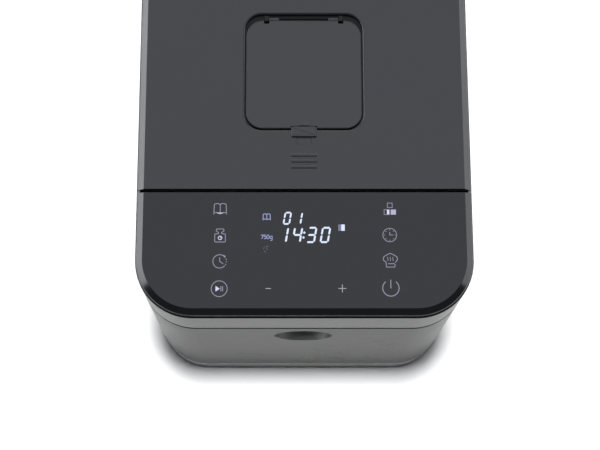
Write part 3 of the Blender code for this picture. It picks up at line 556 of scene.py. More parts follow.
class Tree:
    """Short ways to add and link nodes in a node tree."""

    def __init__(self, tree: bpy.types.NodeTree) -> None:
        """Wraps the tree."""
        self.tree = tree
        self.column = 0

    def node(self, kind: str, **inputs: object) -> bpy.types.Node:
        """Adds a node; each input is a socket to link, or a value, by the input's name or number."""
        made = self.tree.nodes.new(kind)
        self.column += 1
        made.location = (self.column * 190 - 1600, -(self.column % 4) * 160)
        for name, value in inputs.items():
            key = int(name[1:]) if name[0] == "i" and name[1:].isdigit() else name.replace("_", " ")
            self.set(made, key, value)
        return made

    def set(self, made: bpy.types.Node, key: int | str, value: object) -> None:
        """Links a socket into an input, or sets the input's own value."""
        if isinstance(value, bpy.types.NodeSocket):
            self.tree.links.new(value, made.inputs[key])
        elif isinstance(value, tuple) and len(value) == 3 and made.inputs[key].type == "RGBA":
            made.inputs[key].default_value = (*value, 1)
        else:
            made.inputs[key].default_value = value

    def noise(
        self, vector: object, scale: object, detail: float = 3.0, rough: float = 0.5
    ) -> bpy.types.NodeSocket:
        """Fractal noise of a vector, from about 0.3 to 0.7."""
        made = self.node("ShaderNodeTexNoise", Vector=vector, Scale=scale, Detail=detail, Roughness=rough)
        return made.outputs[0]

    def math(self, operation: str, a: object, b: object = 0.0, c: object = 0.0) -> bpy.types.NodeSocket:
        """One arithmetic step."""
        made = self.node("ShaderNodeMath", i0=a, i1=b, i2=c)
        made.operation = operation
        return made.outputs[0]

    def spread(
        self, value: object, low: float, high: float, to_low: object, to_high: object
    ) -> bpy.types.NodeSocket:
        """Maps low to high onto to_low to to_high, and stops at the ends."""
        made = self.node("ShaderNodeMapRange", i0=value, i1=low, i2=high, i3=to_low, i4=to_high)
        return made.outputs[0]

    def mix(self, share: object, a: object, b: object, blend: str = "MIX") -> bpy.types.NodeSocket:
        """Mixes two colours."""
        made = self.tree.nodes.new("ShaderNodeMix")
        self.column += 1
        made.location = (self.column * 190 - 1600, 200)
        made.data_type = "RGBA"
        made.blend_type = blend
        for key, value in ((0, share), (6, a), (7, b)):
            self.set(made, key, value)
        return made.outputs[2]


class Effect:
    """A shader group used by several finishes: named inputs and outputs round a small recipe."""

    made: dict[str, bpy.types.NodeTree] = {}

    @classmethod
    def group(
        cls,
        name: str,
        inputs: dict[str, str],
        outputs: dict[str, str],
        recipe: Callable[[Tree, bpy.types.NodeOutputs], dict[str, bpy.types.NodeSocket]],
    ) -> bpy.types.NodeTree:
        """Builds a group once.

        Args:
            name: Name of the group.
            inputs: Socket type of each input.
            outputs: Socket type of each output.
            recipe: Makes the nodes and gives the socket for each output.

        Returns:
            The group.
        """
        if name not in cls.made:
            group = bpy.data.node_groups.new(name, "ShaderNodeTree")
            for label, kind in inputs.items():
                group.interface.new_socket(label, in_out="INPUT", socket_type=kind)
            for label, kind in outputs.items():
                group.interface.new_socket(label, in_out="OUTPUT", socket_type=kind)
            tree = Tree(group)
            entry = tree.node("NodeGroupInput")
            leave = tree.node("NodeGroupOutput")
            for label, socket in recipe(tree, entry.outputs).items():
                group.links.new(socket, leave.inputs[label])
            cls.made[name] = group
        return cls.made[name]

    @staticmethod
    def place(tree: Tree, group: bpy.types.NodeTree, **inputs: object) -> bpy.types.NodeOutputs:
        """Puts the group in a material with its own values."""
        made = tree.node("ShaderNodeGroup")
        made.node_tree = group
        for name, value in inputs.items():
            tree.set(made, name.replace("_", " "), value)
        return made.outputs


FLOAT, COLOUR, VECTOR = "NodeSocketFloat", "NodeSocketColor", "NodeSocketVector"


def grain_effect() -> bpy.types.NodeTree:
    """Fine moulded or sprayed grain: two sizes of noise added up as a height."""

    def recipe(tree: Tree, given: bpy.types.NodeOutputs) -> dict[str, bpy.types.NodeSocket]:
        """Coarse noise plus half as much noise at three times the frequency."""
        coarse = tree.noise(given["Vector"], given["Scale"], 2.0)
        fine = tree.noise(given["Vector"], tree.math("MULTIPLY", given["Scale"], 3.1), 1.0)
        return {"Height": tree.math("MULTIPLY_ADD", fine, 0.5, coarse)}

    return Effect.group("moulded_grain", {"Vector": VECTOR, "Scale": FLOAT}, {"Height": FLOAT}, recipe)


def handling_effect() -> bpy.types.NodeTree:
    """Roughness that varies with faint smears and wipes."""

    def recipe(tree: Tree, given: bpy.types.NodeOutputs) -> dict[str, bpy.types.NodeSocket]:
        """Roughness plus spread times (broad noise times fine noise, centred on 0)."""
        broad = tree.spread(tree.noise(given["Vector"], 14.0, 4.0, 0.6), 0.35, 0.65, -1.0, 1.0)
        fine = tree.spread(tree.noise(given["Vector"], 160.0, 3.0, 0.6), 0.3, 0.7, 0.4, 1.0)
        both = tree.math("MULTIPLY", tree.math("MULTIPLY", broad, fine), given["Spread"])
        return {"Roughness": tree.math("ADD", given["Roughness"], both)}

    inputs = {"Vector": VECTOR, "Roughness": FLOAT, "Spread": FLOAT}
    return Effect.group("handling", inputs, {"Roughness": FLOAT}, recipe)


def mottle_effect() -> bpy.types.NodeTree:
    """Slight variation of a colour from place to place, at two sizes."""

    def recipe(tree: Tree, given: bpy.types.NodeOutputs) -> dict[str, bpy.types.NodeSocket]:
        """Colour times (1 plus amount times noise centred on 0)."""
        broad = tree.noise(given["Vector"], 9.0, 3.0)
        fine = tree.noise(given["Vector"], given["Scale"], 2.0)
        both = tree.math("ADD", broad, fine)
        shift = tree.math("MULTIPLY", tree.math("SUBTRACT", both, 1.0), given["Amount"])
        factor = tree.math("ADD", shift, 1.0)
        grey = tree.node("ShaderNodeCombineColor", i0=factor, i1=factor, i2=factor).outputs[0]
        return {"Colour": tree.mix(1.0, given["Colour"], grey, "MULTIPLY")}

    inputs = {"Vector": VECTOR, "Colour": COLOUR, "Amount": FLOAT, "Scale": FLOAT}
    return Effect.group("mottle", inputs, {"Colour": COLOUR}, recipe)


def edge_wear_effect() -> bpy.types.NodeTree:
    """Rubbed edges: the worn colour shows where the wear attribute and a noise are both high."""

    def recipe(tree: Tree, given: bpy.types.NodeOutputs) -> dict[str, bpy.types.NodeSocket]:
        """Mask is wear times noise, sharpened; the colour is mixed by mask times amount."""
        patchy = tree.spread(tree.noise(given["Vector"], 90.0, 4.0, 0.65), 0.42, 0.62, 0.0, 1.0)
        mask = tree.math("MULTIPLY", tree.math("MULTIPLY", patchy, given["Wear"]), given["Amount"])
        return {"Colour": tree.mix(mask, given["Colour"], given["Worn"]), "Mask": mask}

    inputs = {"Vector": VECTOR, "Colour": COLOUR, "Worn": COLOUR, "Wear": FLOAT, "Amount": FLOAT}
    return Effect.group("edge_wear", inputs, {"Colour": COLOUR, "Mask": FLOAT}, recipe)


def dust_effect() -> bpy.types.NodeTree:
    """A few pale specks of dust: cells whose centre is near, thinned by a noise."""

    def recipe(tree: Tree, given: bpy.types.NodeOutputs) -> dict[str, bpy.types.NodeSocket]:
        """Mask is 1 within a small distance of a cell's centre, where the noise is high."""
        cell = tree.node("ShaderNodeTexVoronoi", Vector=given["Vector"], Scale=420.0)
        near = tree.spread(cell.outputs["Distance"], 0.05, 0.11, 1.0, 0.0)
        few = tree.spread(tree.noise(given["Vector"], 60.0, 2.0), 0.60, 0.66, 0.0, 1.0)
        mask = tree.math("MULTIPLY", tree.math("MULTIPLY", near, few), given["Amount"])
        return {"Colour": tree.mix(mask, given["Colour"], (0.45, 0.44, 0.42)), "Mask": mask}

    inputs = {"Vector": VECTOR, "Colour": COLOUR, "Amount": FLOAT}
    return Effect.group("dust", inputs, {"Colour": COLOUR, "Mask": FLOAT}, recipe)


def streak_effect() -> bpy.types.NodeTree:
    """Brushed lines: noise of a vector that the material has stretched along the lines."""

    def recipe(tree: Tree, given: bpy.types.NodeOutputs) -> dict[str, bpy.types.NodeSocket]:
        """Height is fine noise plus a broader one; the mask is the broader one, spread out."""
        fine = tree.noise(given["Vector"], 900.0, 2.0, 0.6)
        broad = tree.noise(given["Vector"], 170.0, 2.0, 0.5)
        return {
            "Height": tree.math("MULTIPLY_ADD", broad, 0.6, fine),
            "Mask": tree.spread(broad, 0.3, 0.7, 0.0, 1.0),
        }

    return Effect.group("brushed_streaks", {"Vector": VECTOR}, {"Height": FLOAT, "Mask": FLOAT}, recipe)


@dataclass(frozen=True)
class Finish:
    """What every finish has: a name, the record's material slot, and a way to make its material."""

    name: str
    slot: str

    def material(self) -> bpy.types.Material:
        """The finish's material, made the first time it is asked for."""
        found = bpy.data.materials.get(self.name)
        if found:
            return found
        made = bpy.data.materials.new(self.name)
        made.use_nodes = True
        tree = Tree(made.node_tree)
        shader = made.node_tree.nodes["Principled BSDF"]
        self.fill(tree, shader)
        return made

    def fill(self, tree: Tree, shader: bpy.types.Node) -> None:
        """Adds the finish's nodes."""
        raise NotImplementedError

    def dress(self, *pieces: bpy.types.Object) -> None:
        """Gives pieces this material."""
        for piece in pieces:
            piece.data.materials.clear()
            piece.data.materials.append(self.material())

    @staticmethod
    def position(tree: Tree, stretch: tuple[float, float, float] = (1.0, 1.0, 1.0)) -> bpy.types.NodeSocket:
        """Object coordinates, scaled along each axis."""
        place = tree.node("ShaderNodeTexCoord").outputs["Object"]
        return tree.node("ShaderNodeMapping", Vector=place, Scale=stretch).outputs[0]

    @staticmethod
    def wear_value(tree: Tree) -> bpy.types.NodeSocket:
        """The wear attribute of the piece."""
        made = tree.node("ShaderNodeAttribute")
        made.attribute_name = WEAR
        return made.outputs["Fac"]


@dataclass(frozen=True)
class Moulded(Finish):
    """Moulded or sprayed plastic, rubber or silicone."""

    colour: Colour = (0.02, 0.02, 0.02)
    roughness: float = 0.4
    spread: float = 0.05
    grain: float = 1500.0
    depth: float = 0.04
    mottle: float = 0.15
    worn: Colour = (0.10, 0.10, 0.10)
    wear: float = 0.4
    dust: float = 0.3
    ior: float = 1.45
    coat: float = 0.0
    coat_roughness: float = 0.1
    sheen: float = 0.0

    def fill(self, tree: Tree, shader: bpy.types.Node) -> None:
        """Mottled colour with rubbed edges and dust, grain as bump, roughness with smears."""
        place = self.position(tree)
        colour = Effect.place(
            tree, mottle_effect(), Vector=place, Colour=self.colour, Amount=self.mottle, Scale=self.grain / 6
        )["Colour"]
        rubbed = Effect.place(
            tree,
            edge_wear_effect(),
            Vector=place,
            Colour=colour,
            Worn=self.worn,
            Wear=self.wear_value(tree),
            Amount=self.wear,
        )
        dusty = Effect.place(tree, dust_effect(), Vector=place, Colour=rubbed["Colour"], Amount=self.dust)
        smeared = Effect.place(
            tree, handling_effect(), Vector=place, Roughness=self.roughness, Spread=self.spread
        )["Roughness"]
        rough = tree.math("MULTIPLY_ADD", dusty["Mask"], 0.4, smeared)
        height = Effect.place(tree, grain_effect(), Vector=place, Scale=self.grain)["Height"]
        bump = tree.node("ShaderNodeBump", Strength=self.depth, Distance=0.0004, Height=height)
        tree.set(shader, "Base Color", dusty["Colour"])
        tree.set(shader, "Roughness", rough)
        tree.set(shader, "Normal", bump.outputs[0])
        tree.set(shader, "IOR", self.ior)
        tree.set(shader, "Coat Weight", self.coat)
        tree.set(shader, "Coat Roughness", self.coat_roughness)
        tree.set(shader, "Sheen Weight", self.sheen)


@dataclass(frozen=True)
class Metal(Finish):
    """Sheet, turned, cast or lacquered metal."""

    colour: Colour = (0.5, 0.5, 0.5)
    roughness: float = 0.35
    spread: float = 0.06
    metallic: float = 1.0
    stretch: tuple[float, float, float] = (1.0, 1.0, 1.0)
    streak: float = 0.06
    grain: float = 1200.0
    depth: float = 0.05
    tint: Colour = (0.4, 0.4, 0.4)
    tint_share: float = 0.15
    worn: Colour = (0.75, 0.75, 0.74)
    wear: float = 0.3
    mottle: float = 0.12
    grazing: float = 1.0

    def fill(self, tree: Tree, shader: bpy.types.Node) -> None:
        """Streaked, mottled colour; grain and streaks as bump; brighter rubbed edges."""
        place = self.position(tree)
        streaks = Effect.place(tree, streak_effect(), Vector=self.position(tree, self.stretch))
        share = tree.math("MULTIPLY", streaks["Mask"], self.tint_share)
        tinted = tree.mix(share, self.colour, self.tint)
        colour = Effect.place(
            tree, mottle_effect(), Vector=place, Colour=tinted, Amount=self.mottle, Scale=260.0
        )["Colour"]
        rubbed = Effect.place(
            tree,
            edge_wear_effect(),
            Vector=place,
            Colour=colour,
            Worn=self.worn,
            Wear=self.wear_value(tree),
            Amount=self.wear,
        )
        smeared = Effect.place(
            tree, handling_effect(), Vector=place, Roughness=self.roughness, Spread=self.spread
        )["Roughness"]
        rough = tree.math("MULTIPLY_ADD", streaks["Mask"], self.streak, smeared)
        height = Effect.place(tree, grain_effect(), Vector=place, Scale=self.grain)["Height"]
        both = tree.math("MULTIPLY_ADD", streaks["Height"], 4 * self.streak, height)
        bump = tree.node("ShaderNodeBump", Strength=self.depth, Distance=0.0003, Height=both)
        tree.set(shader, "Base Color", rubbed["Colour"])
        tree.set(shader, "Roughness", rough)
        tree.set(shader, "Normal", bump.outputs[0])
        tree.set(shader, "Metallic", self.metallic)
        tree.set(shader, "Specular Tint", (self.grazing, self.grazing, self.grazing))


@dataclass(frozen=True)
class Speckled(Finish):
    """Baked non-stick coating: dark, with a fleck in part of its cells."""

    colour: Colour = (0.035, 0.035, 0.037)
    fleck: Colour = (0.20, 0.20, 0.20)
    roughness: float = 0.42

    def fill(self, tree: Tree, shader: bpy.types.Node) -> None:
        """Small cells, of which those with a high random value are flecks; fine orange peel."""
        place = self.position(tree)
        cell = tree.node("ShaderNodeTexVoronoi", Vector=place, Scale=1300.0)
        chosen = tree.spread(cell.outputs["Color"], 0.80, 0.86, 0.0, 1.0)
        near = tree.spread(cell.outputs["Distance"], 0.20, 0.45, 1.0, 0.0)
        fleck = tree.math("MULTIPLY", tree.math("MULTIPLY", chosen, near), 0.7)
        colour = Effect.place(
            tree, mottle_effect(), Vector=place, Colour=self.colour, Amount=0.3, Scale=300.0
        )["Colour"]
        smeared = Effect.place(
            tree, handling_effect(), Vector=place, Roughness=self.roughness, Spread=0.08
        )["Roughness"]
        height = Effect.place(tree, grain_effect(), Vector=place, Scale=900.0)["Height"]
        bump = tree.node("ShaderNodeBump", Strength=0.12, Distance=0.0003, Height=height)
        tree.set(shader, "Base Color", tree.mix(fleck, colour, self.fleck))
        tree.set(shader, "Roughness", smeared)
        tree.set(shader, "Normal", bump.outputs[0])
        tree.set(shader, "Coat Weight", 0.15)


@dataclass(frozen=True)
class Board(Finish):
    """Circuit board: lacquered green with copper lines and tinned dots."""

    colour: Colour = (0.012, 0.075, 0.030)
    line: Colour = (0.03, 0.16, 0.06)
    dot: Colour = (0.55, 0.55, 0.52)

    def fill(self, tree: Tree, shader: bpy.types.Node) -> None:
        """Lines are the edges of square cells; dots are the centres of smaller cells."""
        place = self.position(tree)
        maze = tree.node("ShaderNodeTexVoronoi", Vector=place, Scale=260.0)
        maze.distance = "CHEBYCHEV"
        maze.feature = "F1"
        edge = tree.spread(maze.outputs["Distance"], 0.36, 0.42, 0.0, 1.0)
        solder = tree.node("ShaderNodeTexVoronoi", Vector=place, Scale=420.0)
        dot = tree.spread(solder.outputs["Distance"], 0.14, 0.18, 1.0, 0.0)
        colour = tree.mix(dot, tree.mix(edge, self.colour, self.line), self.dot)
        bump = tree.node("ShaderNodeBump", Strength=0.3, Distance=0.0003, Height=tree.math("ADD", edge, dot))
        tree.set(shader, "Base Color", colour)
        tree.set(shader, "Metallic", tree.math("MULTIPLY", dot, 0.9))
        tree.set(shader, "Normal", bump.outputs[0])
        tree.set(shader, "Roughness", tree.math("MULTIPLY_ADD", dot, 0.1, 0.28))


@dataclass(frozen=True)
class Glow(Finish):
    """A lit mark: light through a printed film, a little uneven; also a faint painted glow on a mark that is
    not lit.
    """

    colour: Colour = (0.6, 0.6, 0.7)
    strength: float = 1.0

    def fill(self, tree: Tree, shader: bpy.types.Node) -> None:
        """The emission's colour varies a little with a fine noise."""
        place = self.position(tree)
        even = Effect.place(
            tree, mottle_effect(), Vector=place, Colour=self.colour, Amount=0.25, Scale=900.0
        )["Colour"]
        tree.set(shader, "Base Color", (0.02, 0.02, 0.025))
        tree.set(shader, "Roughness", 0.4)
        tree.set(shader, "Emission Color", even)
        tree.set(shader, "Emission Strength", self.strength)


@dataclass(frozen=True)
class Finishes:
    """The finishes of this machine."""

    body: Finish = Metal(
        "satin_champagne_metal", "champagne_steel", colour=(0.140, 0.145, 0.137), roughness=0.27,
        spread=0.004, grazing=0.42, stretch=(0.02, 0.02, 1.0), streak=0.003, grain=2600.0,
        depth=0.012, mottle=0.02,
        tint=(0.142, 0.147, 0.138), tint_share=0.08, worn=(0.20, 0.205, 0.195), wear=0.15,
    )
    # The scoop's cup: rougher than the body sheet, and lighter than it as painted light against the shade
    # inside the scoop.
    cup: Finish = Metal(
        "dished_metal_painted_light", "champagne_steel", colour=(0.17, 0.175, 0.165), roughness=0.55, spread=0.01,
        grazing=0.4, streak=0.01, grain=1500.0, depth=0.03, mottle=0.03, tint=(0.16, 0.165, 0.155), wear=0.1,
    )
    band: Finish = Metal(
        "satin_band_metal", "band_metal", colour=(0.190, 0.194, 0.187), roughness=0.26, spread=0.004,
        grazing=0.48, stretch=(0.02, 0.02, 1.0), streak=0.003, grain=2600.0, depth=0.012, mottle=0.02,
        tint=(0.180, 0.184, 0.177), tint_share=0.08, worn=(0.24, 0.245, 0.237), wear=0.15,
    )
    web: Finish = Moulded(
        "pale_frame_enamel", "band_metal", colour=(0.10, 0.10, 0.101), roughness=0.4, grain=1300.0,
        depth=0.06, worn=(0.2, 0.2, 0.2), wear=0.3, dust=0.3,
    )
    trim: Finish = Metal(
        "bright_trim_metal", "band_metal", colour=(0.16, 0.162, 0.16), roughness=0.28, spread=0.01,
        streak=0.02, grain=1800.0, depth=0.02, tint=(0.14, 0.14, 0.14), wear=0.2, grazing=0.3,
    )
    lid: Finish = Moulded(
        "satin_black_lid", "lid_plastic", colour=(0.0085, 0.0088, 0.0100), roughness=0.30, spread=0.02,
        grain=2400.0, depth=0.05, worn=(0.04, 0.04, 0.042), wear=0.2, dust=0.06, ior=1.52,
    )
    panel: Finish = Moulded(
        "glossy_black_panel", "panel_glass", colour=(0.0060, 0.0063, 0.0074), roughness=0.17, spread=0.03,
        grain=900.0, depth=0.006, worn=(0.02, 0.02, 0.022), wear=0.15, dust=0.06, ior=1.415,
    )
    flap: Finish = Moulded(
        "satin_black_flap", "lid_plastic", colour=(0.0088, 0.0091, 0.0103), roughness=0.29, spread=0.02,
        grain=2400.0, depth=0.05, worn=(0.04, 0.04, 0.042), wear=0.2, dust=0.06, ior=1.53,
    )
    base: Finish = Moulded(
        "textured_grey_base", "base_plastic", colour=(0.12, 0.12, 0.121), roughness=0.42, grain=1500.0,
        depth=0.10, worn=(0.25, 0.25, 0.25), wear=0.5, dust=0.3,
    )
    dark: Finish = Moulded(
        "fine_black_plastic", "dark_plastic", colour=(0.008, 0.008, 0.009), roughness=0.6, ior=1.3,
        grain=1600.0, depth=0.08, worn=(0.05, 0.05, 0.05), wear=0.4, dust=0.2,
    )
    # Painted shade: a near-black finish that hardly reflects, put in gaps and on what sits in them so that
    # they read as shadow.
    painted_shade: Finish = Moulded(
        "painted_shade_black", "dark_plastic", colour=(0.004, 0.004, 0.0045), roughness=0.9, grain=1600.0,
        depth=0.05, worn=(0.01, 0.01, 0.01), wear=0.2, dust=0.05, ior=1.04,
    )
    rubber: Finish = Moulded(
        "black_rubber", "rubber", colour=(0.018, 0.018, 0.018), roughness=0.72, grain=900.0, depth=0.2,
        worn=(0.08, 0.08, 0.08), wear=0.6, dust=0.6, sheen=0.1,
    )
    silicone: Finish = Moulded(
        "grey_silicone", "silicone", colour=(0.30, 0.28, 0.26), roughness=0.55, grain=700.0, depth=0.08,
        worn=(0.42, 0.40, 0.38), wear=0.4, dust=0.3, sheen=0.1,
    )
    sheet: Finish = Metal(
        "rolled_steel", "steel_sheet", colour=(0.52, 0.52, 0.51), roughness=0.30, stretch=(0.03, 1.0, 1.0),
        streak=0.10, tint=(0.38, 0.37, 0.35), tint_share=0.35, wear=0.5,
    )
    seal: Finish = Moulded(
        "black_silicone", "silicone", colour=(0.006, 0.006, 0.007), roughness=0.7, ior=1.25, grain=900.0,
        depth=0.08, worn=(0.04, 0.04, 0.04), wear=0.3, dust=0.2,
    )
    turned: Finish = Metal(
        "turned_steel", "turned_steel", colour=(0.58, 0.58, 0.58), roughness=0.20, stretch=(1.0, 1.0, 0.05),
        streak=0.08, tint=(0.45, 0.45, 0.45), wear=0.4,
    )
    nonstick: Finish = Speckled("speckled_nonstick", "nonstick")
    cast: Finish = Metal(
        "cast_aluminium", "cast_aluminium", colour=(0.50, 0.50, 0.50), roughness=0.46, streak=0.02,
        grain=500.0, depth=0.35, tint=(0.36, 0.36, 0.36), tint_share=0.3, wear=0.6,
    )
    element: Finish = Metal(
        "heated_element_metal", "element_metal", colour=(0.10, 0.088, 0.080), roughness=0.48, streak=0.05,
        grain=800.0, depth=0.25, tint=(0.20, 0.12, 0.07), tint_share=0.5, worn=(0.25, 0.22, 0.2),
        metallic=0.8,
    )
    bronze: Finish = Metal(
        "sintered_bronze", "bronze", colour=(0.50, 0.33, 0.16), roughness=0.42, streak=0.02, grain=700.0,
        depth=0.3, tint=(0.32, 0.2, 0.1), tint_share=0.3, worn=(0.7, 0.52, 0.3),
    )
    nylon: Finish = Moulded(
        "moulded_nylon", "nylon", colour=(0.70, 0.69, 0.64), roughness=0.45, grain=1100.0, depth=0.06,
        worn=(0.8, 0.79, 0.75), wear=0.3, dust=0.4,
    )
    board: Finish = Board("lacquered_board", "circuit_board")
    window: Finish = Moulded(
        "display_window", "display_glass", colour=(0.006, 0.006, 0.007), roughness=0.10, grain=500.0,
        depth=0.01, wear=0.1, dust=0.3, ior=1.5,
    )
    icon: Finish = Glow("lit_icon", "panel_glass", colour=(0.40, 0.40, 0.54), strength=0.60)
    icon_bright: Finish = Glow("lit_icon_bright", "panel_glass", colour=(0.72, 0.70, 0.92), strength=0.95)
    icon_solid: Finish = Glow("lit_icon_solid", "panel_glass", colour=(0.50, 0.49, 0.66), strength=0.8)
    icon_plain: Finish = Glow("printed_mark", "panel_glass", colour=(0.55, 0.55, 0.56), strength=0.62)
    digit: Finish = Glow("lit_digit", "display_glass", colour=(0.72, 0.81, 1.0), strength=1.0)
    digit_dim: Finish = Glow("dim_digit", "display_glass", colour=(0.30, 0.32, 0.62), strength=0.85)
    # An unlit mark given a faint emission: painted light standing in for the light it reflects.
    ghost: Finish = Glow("unlit_mark_painted_glow", "display_glass", colour=(0.16, 0.14, 0.20), strength=0.5)


FINISHES = Finishes()


def settle(
    shell: Shell | bpy.types.Object, name: str, body: Body, finish: Finish, *nodes: str,
    angle: float = SHARP_ANGLE,
) -> bpy.types.Object:
    """Makes a piece final: shades it, dresses it, puts it on its body and in place of its nodes.

    Args:
        shell: The surface, or an object already made from one.
        name: Name of the piece.
        body: The body that it rides on.
        finish: Its finish.
        nodes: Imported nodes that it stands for.
        angle: Steepest turn that is shaded smooth.

    Returns:
        The piece.
    """
    piece = shell.build(name) if isinstance(shell, Shell) else shell
    shade(piece, angle)
    finish.dress(piece)
    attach(piece, body.value)
    if nodes:
        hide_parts(*nodes)
    LOG.info("%s: %d faces on %s", piece.name, len(piece.data.polygons), body.value)
    return piece


def block(low: Sequence[float], high: Sequence[float], edge: float = 0.0) -> Shell:
    """A box whose upright edges are rounded, and its two ends by edge."""
    plan = rounded_path(rectangle(low[0], low[1], high[0], high[1]), [max(edge, LEAST_EDGE)] * 4, True, 3)[0]
    return Shell().add_block(plan, low[2], high[2], Axis.Z, edge)


def rod(
    radius: float, centre: tuple[float, float], axis: Axis, low: float, high: float, sides: int = 48
) -> Shell:
    """A plain rod along an axis, mostly to cut a round hole with."""
    ends = section([(0.0, low, 0), (radius, low, 0), (radius, high, 0), (0.0, high, 0)], False)
    return Shell().add_turned(ends, centre, axis, sides)


# Sub-assemblies.


